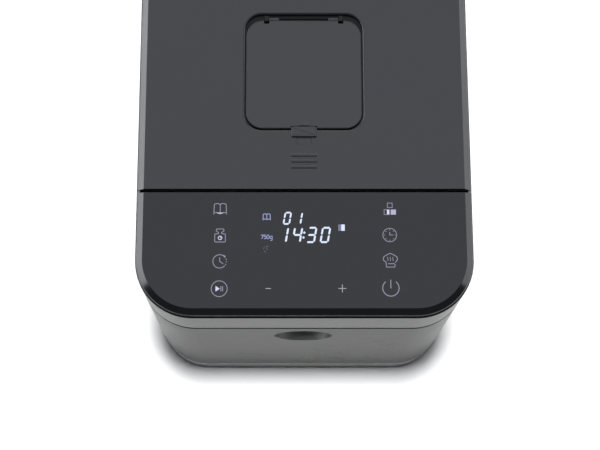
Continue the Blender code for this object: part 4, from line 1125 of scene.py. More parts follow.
@dataclass
class Housing:
    """The metal casing: tray, feet, wrapped body with its finger scoop, shadow joint and upper band."""

    wrap: Span = field(default_factory=lambda: Span.of("body_wrap"))
    tray: Span = field(default_factory=lambda: Span.of("base_tray"))
    band: Span = field(default_factory=lambda: Span.of("upper_frame"))
    plate: Span = field(default_factory=lambda: Span.of("control_panel"))
    scoop: Span = field(default_factory=lambda: Span.of("scoop_cup"))
    corner: float = 43.5 * MM
    wrap_wall: float = 1.2 * MM
    band_wall: float = 1.5 * MM
    seam_low: float = 220.8 * MM
    seam_high: float = 225.4 * MM
    tray_wall: float = 2.5 * MM
    scoop_radius: float = 22.8 * MM
    scoop_centre: float = 187.0 * MM
    rim_gap: float = 4.0 * MM
    rim_inset: float = 1.05 * MM
    rim_tall: float = 0.9 * MM
    shade_liner_gap: float = 0.1 * MM
    shade_liner_inset: float = 0.45 * MM
    vent_pitch: float = 9.0 * MM
    vent_height: float = 3.5 * MM

    def plan(self) -> Plan:
        """The housing's outline."""
        return rounded_plan(self.wrap.right, self.wrap.front, self.wrap.back, self.corner, 28)

    def build(self) -> None:
        """Builds and dresses the casing's pieces."""
        self.build_tray()
        self.build_feet()
        self.build_wrap()
        self.build_scoop()
        self.build_band()
        self.build_inlet()

    def build_tray(self) -> None:
        """A shallow moulded tray with a rolled sole, vent slots and screw recesses."""
        low, high = self.tray.bottom, self.tray.top
        profile = section(
            [
                (3.4 * MM, low, 0.8 * MM), (0.6 * MM, low + 2.4 * MM, 1.6 * MM),
                (0.6 * MM, high, 0.5 * MM), (self.tray_wall, high, 0.4 * MM),
                (self.tray_wall, low + 3.0 * MM, 0.6 * MM),
            ],
            closed=False,
        )
        tray = Shell().add_sweep(self.plan(), profile).build("base_tray_moulding")
        slots, centre_y, pitch = [], 31.0 * MM, 14.0 * MM
        for row in range(-3, 4):
            y = centre_y + pitch * row
            for side in (-1, 1):
                x = sorted((side * 54.0 * MM, side * 74.0 * MM))
                slots.append(block((x[0], y - 2.0 * MM, low - PAST), (x[1], y + 2.0 * MM, low + PAST), 0.0))
        for node in CORNERS:
            screw = Span.of(f"base_screw_{node}")
            centre = ((screw.left + screw.right) / 2, (screw.front + screw.back) / 2)
            wide, narrow, ledge = 3.7 * MM, 1.9 * MM, 6.0 * MM
            steps = [(wide, -PAST, 0), (wide, ledge, 0), (narrow, ledge, 0), (narrow, 12.0 * MM, 0)]
            slots.append(Shell().add_turned(section(steps, False), centre, Axis.Z, 32))
        carve(tray, *slots)
        settle(tray, "base_tray_moulding", Body.HOUSING, FINISHES.base, "base_tray")

    def build_feet(self) -> None:
        """Round rubber feet with a grooved sole, and the four screws of the tray."""
        for node in CORNERS:
            foot = Span.of(f"foot_{node}")
            centre = ((foot.left + foot.right) / 2, (foot.front + foot.back) / 2)
            radius = (foot.right - foot.left) / 2
            profile = section(
                [
                    (0.0, 0.5 * MM, 0), (radius - 4.5 * MM, 0.5 * MM, 0.2 * MM),
                    (radius - 4.1 * MM, 0.0, 0.2 * MM), (radius - 1.5 * MM, 0.0, 0.8 * MM),
                    (radius, 1.2 * MM, 0.6 * MM), (radius, foot.top, 0.3 * MM), (0.0, foot.top, 0),
                ],
                closed=False,
            )
            shell = Shell().add_turned(profile, centre)
            settle(shell, f"foot_pad_{node}", Body.HOUSING, FINISHES.rubber, f"foot_{node}")
            screw = Span.of(f"base_screw_{node}")
            middle = ((screw.left + screw.right) / 2, (screw.front + screw.back) / 2)
            head = (screw.right - screw.left) / 2
            steps = section(
                [
                    (0.0, screw.bottom, 0), (head, screw.bottom, 0.5 * MM),
                    (head, screw.bottom + 1.4 * MM, 0.1 * MM),
                    (1.6 * MM, screw.bottom + 1.4 * MM, 0.1 * MM),
                    (1.6 * MM, screw.top - 0.8 * MM, 0.1 * MM), (0.4 * MM, screw.top, 0.1 * MM),
                    (0.0, screw.top, 0),
                ],
                closed=False,
            )
            made = Shell().add_turned(steps, middle, Axis.Z, 32).build(f"base_screw_{node}_turned")
            cross, arm, slot = screw.bottom + 0.8 * MM, 1.8 * MM, 0.35 * MM
            x, y = middle
            carve(
                made,
                block((x - arm, y - slot, -0.001), (x + arm, y + slot, cross)),
                block((x - slot, y - arm, -0.001), (x + slot, y + arm, cross)),
            )
            settle(made, made.name, Body.HOUSING, FINISHES.turned, f"base_screw_{node}")

    def build_wrap(self) -> None:
        """The wrapped metal sheet, with a rolled lip round the scoop and slotted vents."""
        low, high, wall = self.wrap.bottom, self.seam_low, self.wrap_wall
        profile = section(
            [(0.0, low, 0.35 * MM), (0.0, high, 0.5 * MM), (wall, high, 0.3 * MM), (wall, low, 0.3 * MM)]
        )
        wrap = Shell().add_sweep(self.plan(), profile).build("body_wrap_sheet")
        front, lip = self.wrap.front, 0.25 * MM
        flare = section(
            [
                (0.0, front - PAST, 0), (self.scoop_radius + lip, front - PAST, 0),
                (self.scoop_radius + lip, front - 0.05 * MM, 0), (self.scoop_radius, front + lip, lip),
                (self.scoop_radius, front + PAST, 0), (0.0, front + PAST, 0),
            ],
            closed=False,
        )
        tools = [Shell().add_turned(flare, (0.0, self.scoop_centre), Axis.Y, 96)]
        first, tall = 52.0 * MM, self.vent_height
        for row in range(6):
            z = first + self.vent_pitch * row
            side = rounded_path(rectangle(20 * MM, z, 85 * MM, z + tall), [0.49 * tall] * 4, True)[0]
            for x in (-0.126, 0.126):
                tools.append(Shell().add_block(side, x - PAST, x + PAST, Axis.X))
            z += 110.0 * MM
            rear = rounded_path(rectangle(-60 * MM, z, 60 * MM, z + tall), [0.49 * tall] * 4, True)[0]
            tools.append(Shell().add_block(rear, self.wrap.back - PAST, self.wrap.back + PAST, Axis.Y))
        inlet = Span.of("cord_inlet")
        centre = ((inlet.left + inlet.right) / 2, (inlet.bottom + inlet.top) / 2)
        tools.append(rod(11.8 * MM, centre, Axis.Y, 0.16, 0.18))
        carve(wrap, *tools)
        settle(wrap, wrap.name, Body.HOUSING, FINISHES.body, "body_wrap", angle=math.radians(30))

    def build_scoop(self) -> None:
        """The dished cup behind the hole: a quarter ellipse turned about y, with a thin flange."""
        front = self.wrap.front
        rim = self.scoop_radius - 0.3 * MM
        depth = self.scoop.back - front - 1.5 * MM
        bend = arc(0, 90, 16)
        inside = np.stack([(rim - 0.8 * MM) * bend[:, 0], front + 0.3 * MM + depth * bend[:, 1]], axis=1)
        outside = np.stack([(rim + 0.4 * MM) * bend[:, 0], front + 1.5 * MM + depth * bend[:, 1]], axis=1)
        shoulder = front + self.wrap_wall + 0.3 * MM
        flange = np.array([
            (25.5 * MM, shoulder + 1.2 * MM), (26.0 * MM, shoulder + 0.6 * MM), (26.0 * MM, shoulder),
            (rim, shoulder), (rim, front + 0.3 * MM),
        ])
        kept = outside[outside[:, 1] > shoulder + 2.4 * MM][::-1]
        points = np.concatenate([kept, flange, inside])
        profile = Profile(points[:, 0], points[:, 1], np.zeros(len(points)), False)
        shell = Shell().add_turned(profile, (0.0, self.scoop_centre), Axis.Y, 96)
        settle(shell, "scoop_cup_pressing", Body.HOUSING, FINISHES.cup, "scoop_cup")

    def build_band(self) -> None:
        """Upper band, its bright rim above a shadow gap filled with painted shade, the joint collar in
        painted shade black and the web round the oven.
        """
        plan, wall = self.plan(), self.band_wall
        low, rim = self.seam_high, self.plate.bottom - 0.2 * MM
        high = rim - self.rim_gap
        profile = section(
            [(0.0, low, 0.7 * MM), (0.0, high, 0.8 * MM), (wall, high, 0.3 * MM), (wall, low, 0.3 * MM)]
        )
        settle(Shell().add_sweep(plan, profile), "upper_band", Body.HOUSING, FINISHES.band, "upper_frame")
        lip = section(
            [
                (self.rim_inset, rim - self.rim_tall, 0.25 * MM), (self.rim_inset, rim, 0.3 * MM),
                (2 * wall, rim, 0.2 * MM), (2 * wall, rim - self.rim_tall, 0.2 * MM),
            ]
        )
        settle(Shell().add_sweep(plan, lip), "band_rim", Body.HOUSING, FINISHES.trim)
        # A near-black ring of painted shade fills the gap under the rim, where there is only shade.
        gap = section(
            [
                (1.7 * MM, high - 0.3 * MM, 0), (1.7 * MM, high + self.shade_liner_gap, 0),
                (self.shade_liner_inset, high + self.shade_liner_gap, 0),
                (self.shade_liner_inset, rim - self.rim_tall - self.shade_liner_gap, 0),
                (wall + 0.6 * MM, rim - self.rim_tall - self.shade_liner_gap, 0),
                (wall + 0.6 * MM, high - 0.3 * MM, 0),
            ]
        )
        settle(Shell().add_sweep(plan, gap), "band_gap_painted_shade", Body.HOUSING, FINISHES.painted_shade)
        # The joint collar is dressed in painted shade black, so that the seam between wrap and band reads as
        # a dark shadow line.
        collar = Span.of("joint_collar")
        ring = section(
            [
                (1.8 * MM, collar.bottom, 0.2 * MM), (1.8 * MM, self.seam_low + self.shade_liner_gap, 0),
                (self.shade_liner_inset, self.seam_low + self.shade_liner_gap, 0),
                (self.shade_liner_inset, self.seam_high - self.shade_liner_gap, 0),
                (1.8 * MM, self.seam_high - self.shade_liner_gap, 0), (1.8 * MM, collar.top, 0.2 * MM),
                (3.6 * MM, collar.top, 0.2 * MM), (3.6 * MM, collar.bottom, 0.2 * MM),
            ]
        )
        settle(Shell().add_sweep(plan, ring), "joint_collar_ring", Body.HOUSING, FINISHES.painted_shade, "joint_collar")
        self.build_web()

    def build_web(self) -> None:
        """The level web: each side lies between the band's outline and the oven's, point for point."""
        oven = Oven().plan(28)
        outer = self.plan().at(self.band_wall + 1.0 * MM)
        inner = oven.at(0.8 * MM)
        low, high, edge = 255.0 * MM, 257.5 * MM, 0.5 * MM
        rounded = oven.at(0.8 * MM - edge)
        rows = [(outer, low), (outer, high), (rounded, high), (inner, high - edge), (inner, low)]
        settle(Shell().add_loft(rows, True), "frame_web", Body.HOUSING, FINISHES.web)

    def build_inlet(self) -> None:
        """The cord inlet: a flanged bush with a tapered mouth, turned about y."""
        inlet = Span.of("cord_inlet")
        centre = ((inlet.left + inlet.right) / 2, (inlet.bottom + inlet.top) / 2)
        back, front, flange = inlet.back, inlet.front, (inlet.right - inlet.left) / 2
        neck, bore = 11.5 * MM, 4.5 * MM
        profile = section(
            [
                (neck, back, 0.4 * MM), (8.5 * MM, back, 0.6 * MM), (bore, back - 3.3 * MM, 1.2 * MM),
                (bore, front, 0.3 * MM), (flange, front, 0.3 * MM), (flange, back - 1.5 * MM, 0.3 * MM),
                (neck, back - 1.5 * MM, 0.2 * MM),
            ]
        )
        shell = Shell().add_turned(profile, centre, Axis.Y)
        settle(shell, "cord_inlet_bush", Body.HOUSING, FINISHES.dark, "cord_inlet")


@dataclass
class TopPlates:
    """The black plates of the top: fixed control panel, lid cover and rear deck, with one chamfer."""

    panel: Span = field(default_factory=lambda: Span.of("control_panel"))
    deck: Span = field(default_factory=lambda: Span.of("rear_deck"))
    corner: float = 42.0 * MM
    chamfer_plan: float = 4.6 * MM
    chamfer_drop: float = 3.6 * MM
    lid_front: float = -78.9 * MM
    hinge_y: float = 150.0 * MM
    hinge_radius: float = 6.0 * MM
    hatch_half_x: float = 45.2 * MM
    hatch_front: float = -32.5 * MM
    hatch_back: float = 60.5 * MM
    hatch_corner: float = 13.0 * MM

    def plate(self, name: str, front: float | None, back: float | None, seam_edge: float) -> bpy.types.Object:
        """One plate between two seams.

        The outer section runs up the side, in along the chamfer and onto the top; the seam section
        has the same heights with only a small rounding, so that both meet at the corners.

        Args:
            name: Name of the piece.
            front: y of its front seam, or None.
            back: y of its back seam, or None.
            seam_edge: Radius of the rounding along the seams.

        Returns:
            The plate.
        """
        low, high = self.panel.bottom, self.panel.top
        half, front_y, back_y = self.panel.right, self.panel.front, -self.panel.front
        whole = rounded_plan(half, front_y, back_y, self.corner, 32)
        outer = section(
            [
                (0.6 * MM, low, 0.0), (0.0, low + 0.3 * MM, 0.2 * MM),
                (0.0, high - self.chamfer_drop, 0.5 * MM), (self.chamfer_plan, high, 0.7 * MM),
                (self.chamfer_plan + 1.2 * MM, high, 0.0),
            ],
            closed=False,
        )
        share = np.clip((outer.height - (high - seam_edge)) / seam_edge, 0, 1)
        seam = Profile(seam_edge * (1 - np.sqrt(1 - share**2)), outer.height, outer.wear, False)
        inner = outer.inset > self.chamfer_plan + 1.0 * MM
        seam.inset[inner] = seam_edge + 1.0 * MM
        return Shell().add_sweep(seamed_plan(whole, front, back), outer, seam).build(name)

    def build(self) -> None:
        """Builds and dresses the three plates."""
        panel = self.plate("control_panel_glass", None, self.panel.back, 0.5 * MM)
        settle(panel, panel.name, Body.HOUSING, FINISHES.panel, "control_panel", angle=math.radians(25))
        self.build_cover()
        self.build_deck()

    def build_cover(self) -> None:
        """The lid's cover: plate, opening with a bevelled lip, hinge barrel with two notches, ridges."""
        top = self.panel.top
        cover = self.plate("lid_cover_moulding", self.lid_front, self.hinge_y, 0.6 * MM)
        mouth = section(
            [
                (0.0, top - 2 * PAST, 0), (0.0, top - 0.75 * MM, 0.2 * MM),
                (-0.6 * MM, top - 0.30 * MM, 0.2 * MM), (-1.2 * MM, top + 0.01 * MM, 0.0),
                (-1.2 * MM, top + PAST, 0),
            ],
            closed=False,
        )
        hatch = rounded_plan(self.hatch_half_x, self.hatch_front, self.hatch_back, self.hatch_corner, 20)
        tools = [Shell().add_sweep(hatch, mouth)]
        hinge_z = top - self.hinge_radius
        barrel_end = 115.0 * MM
        barrel = section(
            [(0.0, -barrel_end, 0), (self.hinge_radius, -barrel_end, 0.8 * MM),
             (self.hinge_radius, barrel_end, 0.8 * MM), (0.0, barrel_end, 0)],
            closed=False,
        )
        carve(cover, Shell().add_turned(barrel, (self.hinge_y, hinge_z), Axis.X), operation="UNION")
        for side in (-1, 1):
            x = sorted((side * 68.5 * MM, side * 77.5 * MM))
            knuckle = (x[0], self.hinge_y - 7.2 * MM, top - 3 * PAST)
            tools.append(block(knuckle, (x[1], self.hinge_y + PAST, top + PAST)))
            tools.append(rod(2.3 * MM, (self.hinge_y, hinge_z), Axis.X, side * 55 * MM, side * 87 * MM, 32))
            relief = sorted((side * barrel_end, side * 0.13))
            short = (relief[0], self.hinge_y - 2.6 * MM, top - 2 * PAST)
            tools.append(block(short, (relief[1], self.hinge_y + PAST, top + PAST)))
        tools.append(block((-5.5 * MM, -43.8 * MM, top - 2 * PAST), (5.5 * MM, -35.4 * MM, top + PAST)))
        tools.append(block((-5.5 * MM, -49.2 * MM, top - 2 * PAST), (5.5 * MM, -43.5 * MM, top - 0.3 * MM)))
        carve(cover, *tools)
        settle(cover, cover.name, Body.LID, FINISHES.lid, "lid_cover", angle=math.radians(25))
        for number, crest in enumerate((-52.4 * MM, -57.0 * MM, -61.6 * MM)):
            wedge = np.array([(1.7, -0.1), (0.5, 0.62), (-0.7, 0.78), (-1.15, 0.5), (-1.25, -0.1)])
            radii = np.array([0, 0.3, 0.3, 0.3, 0]) * MM
            outline = rounded_path(wedge * MM + (crest, top), radii, True, 4)[0]
            ridge = Shell().add_block(outline, -9.7 * MM, 9.7 * MM, Axis.X, 0.4 * MM)
            settle(ridge, f"grip_ridge_{number + 1}", Body.LID, FINISHES.lid)

    def build_deck(self) -> None:
        """The fixed rear deck with five steam slots."""
        deck = self.plate("rear_deck_moulding", self.deck.front, None, 0.6 * MM)
        tools = []
        for x in (-44 * MM, -22 * MM, 0.0, 22 * MM, 44 * MM):
            slot = rectangle(x - 8 * MM, 162.5 * MM, x + 8 * MM, 165.5 * MM)
            slot = rounded_path(slot, [1.45 * MM] * 4, True)[0]
            tools.append(Shell().add_block(slot, self.deck.bottom - PAST, self.deck.top + PAST))
        ahead = (-0.2, self.hinge_y, self.deck.bottom - PAST)
        tools.append(block(ahead, (0.2, self.deck.front, self.deck.top + PAST)))
        carve(deck, *tools)
        settle(deck, deck.name, Body.HOUSING, FINISHES.lid, "rear_deck", angle=math.radians(25))


@dataclass
class TouchPanel:
    """The lit marks on the control panel: eight touch icons, minus and plus, and the display."""

    plate: Span = field(default_factory=lambda: Span.of("control_panel"))
    left_column: float = -62.6
    right_column: float = 63.2
    line: float = 0.55
    sunk: float = 0.10 * MM
    proud: float = 0.04 * MM

    def strokes(
        self, name: str, centre: tuple[float, float], finish: Finish,
        lines: Iterable[tuple[np.ndarray, bool]] = (), fills: Iterable[np.ndarray] = (),
        width: float | None = None, size: float = 1.0,
    ) -> None:
        """Makes one mark from drawn lines and filled outlines, given in millimetres about its centre.

        Args:
            name: Name of the piece.
            centre: Its centre on the panel, in millimetres.
            finish: Its finish.
            lines: Paths, each with whether it is closed.
            fills: Convex outlines.
            width: Line width in millimetres.
            size: Scale of the mark.
        """
        low, high = self.plate.top - self.sunk, self.plate.top + self.proud
        shell = Shell()
        place = np.array(centre)
        for path, closed in lines:
            points = (np.asarray(path, float) * size + place) * MM
            shell.add_ribbon(points, (width or self.line) * MM, low, high, closed)
        for outline in fills:
            shell.add_block((np.asarray(outline, float) * size + place) * MM, low, high)
        settle(shell, name, Body.HOUSING, finish)

    def build(self) -> None:
        """Builds all marks."""
        self.build_left_icons()
        self.build_right_icons()
        bar = rectangle(-2.0, -0.28, 2.0, 0.28)
        self.strokes("touch_minus", (-26.7, -154.2), FINISHES.icon_plain, fills=[bar])
        long = bar * (1.45, 1.0)
        up = long[:, ::-1] * (1.0, 1.0)
        top = up[up[:, 1] > 0]
        self.strokes("touch_plus", (27.7, -154.2), FINISHES.icon_plain, fills=[
            long, np.array([(-0.28, 0.28), (0.28, 0.28), *top[np.argsort(-top[:, 0])]]),
            rectangle(-0.28, -2.9, 0.28, -0.28),
        ])
        self.build_display()

    def book(self) -> list[tuple[np.ndarray, bool]]:
        """An open book: cover line, spine and the pages' lower edge."""
        cover = rounded_path(
            [(-4.7, -4.2), (-4.4, 3.8), (-1.4, 4.2), (0.0, 3.3), (1.4, 4.2), (4.4, 3.8), (4.7, -4.2)],
            [0, 1.1, 0.8, 0.4, 0.8, 1.1, 0], False,
        )[0]
        pages = smooth_loop([(-4.2, -2.9), (-2.2, -2.7), (0.0, -3.3), (2.2, -2.7), (4.2, -2.9)], False)
        return [(cover, False), (np.array([(0.0, 3.1), (0.0, -3.0)]), False), (pages, False)]

    def ring(self, radius: float, start: float = 0.0, end: float = 360.0) -> tuple[np.ndarray, bool]:
        """A circle, or the arc of it from start to end in degrees."""
        whole = end - start >= 360
        points = radius * arc(start, end, max(3, int((end - start) / 7.5)))
        return (points[:-1] if whole else points), whole

    def build_left_icons(self) -> None:
        """Programme book, weight, delay timer, and play or pause."""
        x = self.left_column
        glint = np.array([(-2.6, -3.0), (0.0, -3.7), (2.6, -3.0), (0.0, -2.5)])
        self.strokes("icon_book", (x, -94.1), FINISHES.icon, lines=self.book())
        self.strokes("icon_book_pages", (x, -94.3), FINISHES.icon_bright, fills=[glint])
        weight = rounded_path(
            [(-2.5, 5.0), (2.5, 5.0), (3.0, 3.6), (1.0, 2.2), (1.3, 1.3), (3.9, 1.3), (4.0, -4.9),
             (-4.0, -4.9), (-3.9, 1.3), (-1.3, 1.3), (-1.0, 2.2), (-3.0, 3.6)],
            [0.5, 0.5, 0.5, 0.4, 0.3, 0.7, 0.9, 0.9, 0.7, 0.3, 0.4, 0.5], True,
        )[0]
        self.strokes("icon_weight", (x + 0.1, -114.4), FINISHES.icon, lines=[(weight, True)])
        dial = self.ring(1.35)[0] + (0.0, -1.8)
        self.strokes("icon_weight_dial", (x + 0.1, -114.4), FINISHES.icon_bright,
                     lines=[(dial, True), (np.array([(0.0, -1.9), (0.9, -1.1)]), False)], width=0.5)
        dashes = [self.ring(5.0, start, start + 11) for start in (-33, -8, 14)]
        hands = [(np.array([(0.0, 3.0), (0.0, 0.0)]), False), (np.array([(0.0, 0.0), (2.7, -1.9)]), False)]
        lines = [self.ring(5.0, 52, 318), *dashes, *hands]
        self.strokes("icon_timer", (x, -133.9), FINISHES.icon, lines=lines)
        tip = np.array([(2.1, 5.0), (3.6, 2.6), (4.6, 4.0)])
        self.strokes("icon_timer_tip", (x, -133.9), FINISHES.icon, fills=[tip[::-1]])
        self.strokes("icon_play_ring", (x - 0.1, -154.4), FINISHES.icon, lines=[self.ring(5.85)])
        self.strokes("icon_play", (x - 0.1, -154.4), FINISHES.icon_bright,
                     fills=[np.array([(-2.7, 2.1), (-2.7, -2.1), (0.4, 0.0)])])
        bars = [rectangle(a, -1.9, a + 0.6, 1.9) for a in (0.9, 2.2)]
        self.strokes("icon_pause", (x - 0.1, -154.4), FINISHES.icon, fills=bars)

    def build_right_icons(self) -> None:
        """Crust shades, clock, own recipe hat, and power."""
        x = self.right_column
        outlines = [(rectangle(-1.9, 0.8, 1.7, 4.3), True), (rectangle(-4.4, -4.5, -0.5, -0.8), True)]
        place = (x + 0.5, -93.9)
        self.strokes("icon_crust_light", place, FINISHES.icon, lines=outlines, width=0.45)
        half = rectangle(-2.3, -4.6, -0.4, -0.7)
        self.strokes("icon_crust_medium", place, FINISHES.icon_bright, fills=[half])
        self.strokes("icon_crust_dark", place, FINISHES.icon_solid, fills=[rectangle(0.5, -4.6, 4.4, -0.7)])
        ticks = [(np.array([3.6 * arc(a, a, 1)[0], 4.4 * arc(a, a, 1)[0]]), False) for a in range(0, 360, 45)]
        hands = [(np.array([(0.0, 2.3), (0.0, -0.2)]), False), (np.array([(-0.2, 0.0), (2.6, 0.0)]), False)]
        lines = [self.ring(5.1), *ticks, *hands]
        self.strokes("icon_clock", (x, -114.0), FINISHES.icon, lines=lines, width=0.5)
        hat = smooth_loop(
            [(-3.1, -4.9), (-3.2, -1.5), (-5.0, 0.3), (-4.9, 2.6), (-3.1, 3.9), (-1.5, 4.8), (0.0, 5.3),
             (1.5, 4.8), (3.1, 3.9), (4.9, 2.6), (5.0, 0.3), (3.4, -1.5)], False,
        )
        brim = rounded_path([(-3.1, -4.9), (3.1, -4.9), (3.6, -3.5), (2.9, -2.4), (-1.8, -2.4)],
                            [0, 0.6, 0.6, 0.5, 0], False)[0]
        steam = [(smooth_loop([(a, -0.3), (a + 0.35, 0.8), (a - 0.1, 1.6), (a + 0.3, 2.7)], False), False)
                 for a in (-2.0, -0.1, 1.8)]
        self.strokes("icon_hat", (x + 0.1, -133.3), FINISHES.icon, lines=[(hat, False), (brim, False)])
        self.strokes("icon_hat_steam", (x + 0.1, -133.3), FINISHES.icon, lines=steam, width=0.4)
        self.strokes("icon_power", (x + 0.1, -153.9), FINISHES.icon, lines=[
            self.ring(6.0, 128, 412), (np.array([(0.0, 6.2), (0.0, -0.2)]), False)], width=0.65)

    def digit(
        self, lit: str, left: float, bottom: float, wide: float, tall: float, thick: float
    ) -> list[np.ndarray]:
        """The lit segments of a slanted seven-segment digit, as six-sided outlines.

        A segment runs between two corners of the figure eight, pulled in a little from both, and
        every point leans to the right by a sixth of its height.

        Args:
            lit: Letters of the lit segments, a to g, clockwise from the top with g in the middle.
            left: x of its lower left corner, in millimetres.
            bottom: y of its lower edge.
            wide: Width before it is slanted.
            tall: Height.
            thick: Thickness of a segment.

        Returns:
            The outlines.
        """
        half = thick / 2
        x = (half, wide - half)
        y = (half, tall / 2, tall - half)
        runs = {
            "a": ((x[0], y[2]), (x[1], y[2])), "b": ((x[1], y[1]), (x[1], y[2])),
            "c": ((x[1], y[0]), (x[1], y[1])), "d": ((x[0], y[0]), (x[1], y[0])),
            "e": ((x[0], y[0]), (x[0], y[1])), "f": ((x[0], y[1]), (x[0], y[2])),
            "g": ((x[0], y[1]), (x[1], y[1])),
        }
        lean, pull = math.tan(math.radians(10)), 0.22
        shapes = []
        for letter in lit:
            start, end = (np.array(p) for p in runs[letter])
            along = (end - start) / np.linalg.norm(end - start)
            across = np.array([-along[1], along[0]]) * half
            start, end = start + along * pull, end - along * pull
            bevel = along * half * 0.8
            shape = np.array([start, start + bevel - across, end - bevel - across, end, end - bevel + across,
                              start + bevel + across])
            shape[:, 0] += shape[:, 1] * lean + left
            shape[:, 1] += bottom
            shapes.append(shape)
        return shapes

    def build_display(self) -> None:
        """Programme number, time with its colon, weight, and three small state marks."""
        lit = {"0": "abcdef", "1": "bc", "3": "abcdg", "4": "bcfg"}
        small = [shape for figure, left in (("0", -16.3), ("1", -8.0))
                 for shape in self.digit(lit[figure], left, -106.2, 5.5, 9.9, 1.25)]
        self.strokes("display_programme", (0.0, 0.0), FINISHES.digit, fills=small)
        large = [shape for figure, left in (("1", -20.1), ("4", -9.7), ("3", 0.8), ("0", 11.0))
                 for shape in self.digit(lit[figure], left, -120.1, 6.8, 12.3, 1.4)]
        dots = [0.85 * arc(0, 330, 11) + centre for centre in ((-0.1, -112.2), (-0.7, -115.9))]
        self.strokes("display_time", (0.0, 0.0), FINISHES.digit, fills=[*large, *dots])
        place = (-28.0, -100.3)
        self.strokes("display_book", place, FINISHES.digit_dim, lines=self.book(), width=0.65, size=0.58)
        seven = np.array([(-0.8, 1.4), (0.8, 1.4), (-0.2, -1.5)])
        five = rounded_path([(0.8, 1.4), (-0.7, 1.4), (-0.7, 0.2), (0.8, 0.3), (0.8, -1.5), (-0.8, -1.3)],
                            [0, 0, 0, 0.7, 0.8, 0], False)[0]
        nought = self.ring(1.0)[0] * (0.85, 1.45)
        gram = rounded_path([(0.8, -0.9), (-0.8, -0.9), (-0.8, 0.9), (0.8, 0.9), (0.8, -2.3), (-0.6, -2.3)],
                            [0.0, 0.6, 0.6, 0.0, 0.6, 0.0], False)[0] - (0.0, 0.4)
        marks = [
            (seven - (3.3, 0), False), (five - (1.1, 0), False), (nought + (1.1, 0), True),
            (gram + (3.4, 0), False),
        ]
        self.strokes("display_weight", (-28.1, -115.4), FINISHES.digit_dim, lines=marks, width=0.58)
        # The delay mark is unlit; its faint glow is painted light.
        ghost = [self.ring(2.3, start, start + 50) for start in (50, 130, 210)]
        hands = [(np.array([(0.0, 1.3), (0.0, 0.0), (0.9, -0.7)]), False)]
        self.strokes("display_delay", (-28.0, -124.7), FINISHES.ghost, lines=[*ghost, *hands], width=0.4)
        loaf = [rectangle(a, -2.4, b, 2.4) for a, b in ((-2.3, -1.7), (-1.3, -0.7))]
        self.strokes("display_loaf_left", (27.6, -108.4), FINISHES.digit_dim, fills=loaf)
        heel = rectangle(-0.3, -2.4, 2.3, 2.4)
        self.strokes("display_loaf", (27.6, -108.4), FINISHES.digit, fills=[heel])


@dataclass
class Oven:
    """The baking chamber and what is bolted into it."""

    half_x: float = 83.0 * MM
    half_y: float = 92.0 * MM
    centre_y: float = 31.0 * MM
    corner: float = 20.0 * MM

    def plan(self, steps: int = 16, grow: float = 0.0) -> Plan:
        """The chamber's outline."""
        front, back = self.centre_y - self.half_y, self.centre_y + self.half_y
        return rounded_plan(self.half_x + grow, front - grow, back + grow, self.corner + grow, steps)

    def build(self) -> None:
        """Builds the pressed chamber and the element's loop."""
        floor, rim, wall, flange = 60.0 * MM, 254.7 * MM, 0.8 * MM, 6.0 * MM
        bead, bead_z = 0.5 * MM, 150.0 * MM
        profile = section(
            [
                (8.0 * MM, floor, 0.0), (0.0, floor, 3.0 * MM), (0.0, rim - wall, 0.3 * MM),
                (-flange, rim - wall, 0.2 * MM), (-flange, rim, 0.3 * MM), (wall, rim, 1.2 * MM),
                (wall, bead_z + 5.0 * MM, 1.0 * MM), (wall + bead, bead_z + 2.5 * MM, 1.5 * MM),
                (wall + bead, bead_z - 2.5 * MM, 1.5 * MM), (wall, bead_z - 5.0 * MM, 1.0 * MM),
                (wall, floor + wall, 2.6 * MM), (8.0 * MM, floor + wall, 0.0),
            ],
            closed=False,
        )
        chamber = Shell().add_sweep(self.plan(20), profile).build("baking_chamber_pressing")
        front = self.centre_y - self.half_y
        cuts = [rod(12.0 * MM, (0.0, self.centre_y), Axis.Z, floor - PAST, floor + PAST)]
        for x, z, radius in ((-30.0, 90.0, 4.6), (30.0, 90.0, 4.6), (-55.0, 130.0, 3.2)):
            cuts.append(rod(radius * MM, (x * MM, z * MM), Axis.Y, front - 0.004, front + 0.004))
        carve(chamber, *cuts)
        settle(chamber, chamber.name, Body.HOUSING, FINISHES.sheet, "baking_chamber")
        near, back = front + 9.0 * MM, self.centre_y + 83.0 * MM
        side, exit_x, z = 75.0 * MM, 30.0 * MM, 90.0 * MM
        corners = [(-exit_x, front - 14.0 * MM, z), (-exit_x, near, z), (-side, near, z), (-side, back, z),
                   (side, back, z), (side, near, z), (exit_x, near, z), (exit_x, front - 14.0 * MM, z)]
        path = rounded_path(corners, [8.5 * MM] * 8, False, 10)[0]
        loop = Shell().add_tube(path, 3.3 * MM, (0, 0, 1), 24)
        settle(loop, "heating_element_loop", Body.HOUSING, FINISHES.element, "heating_element")


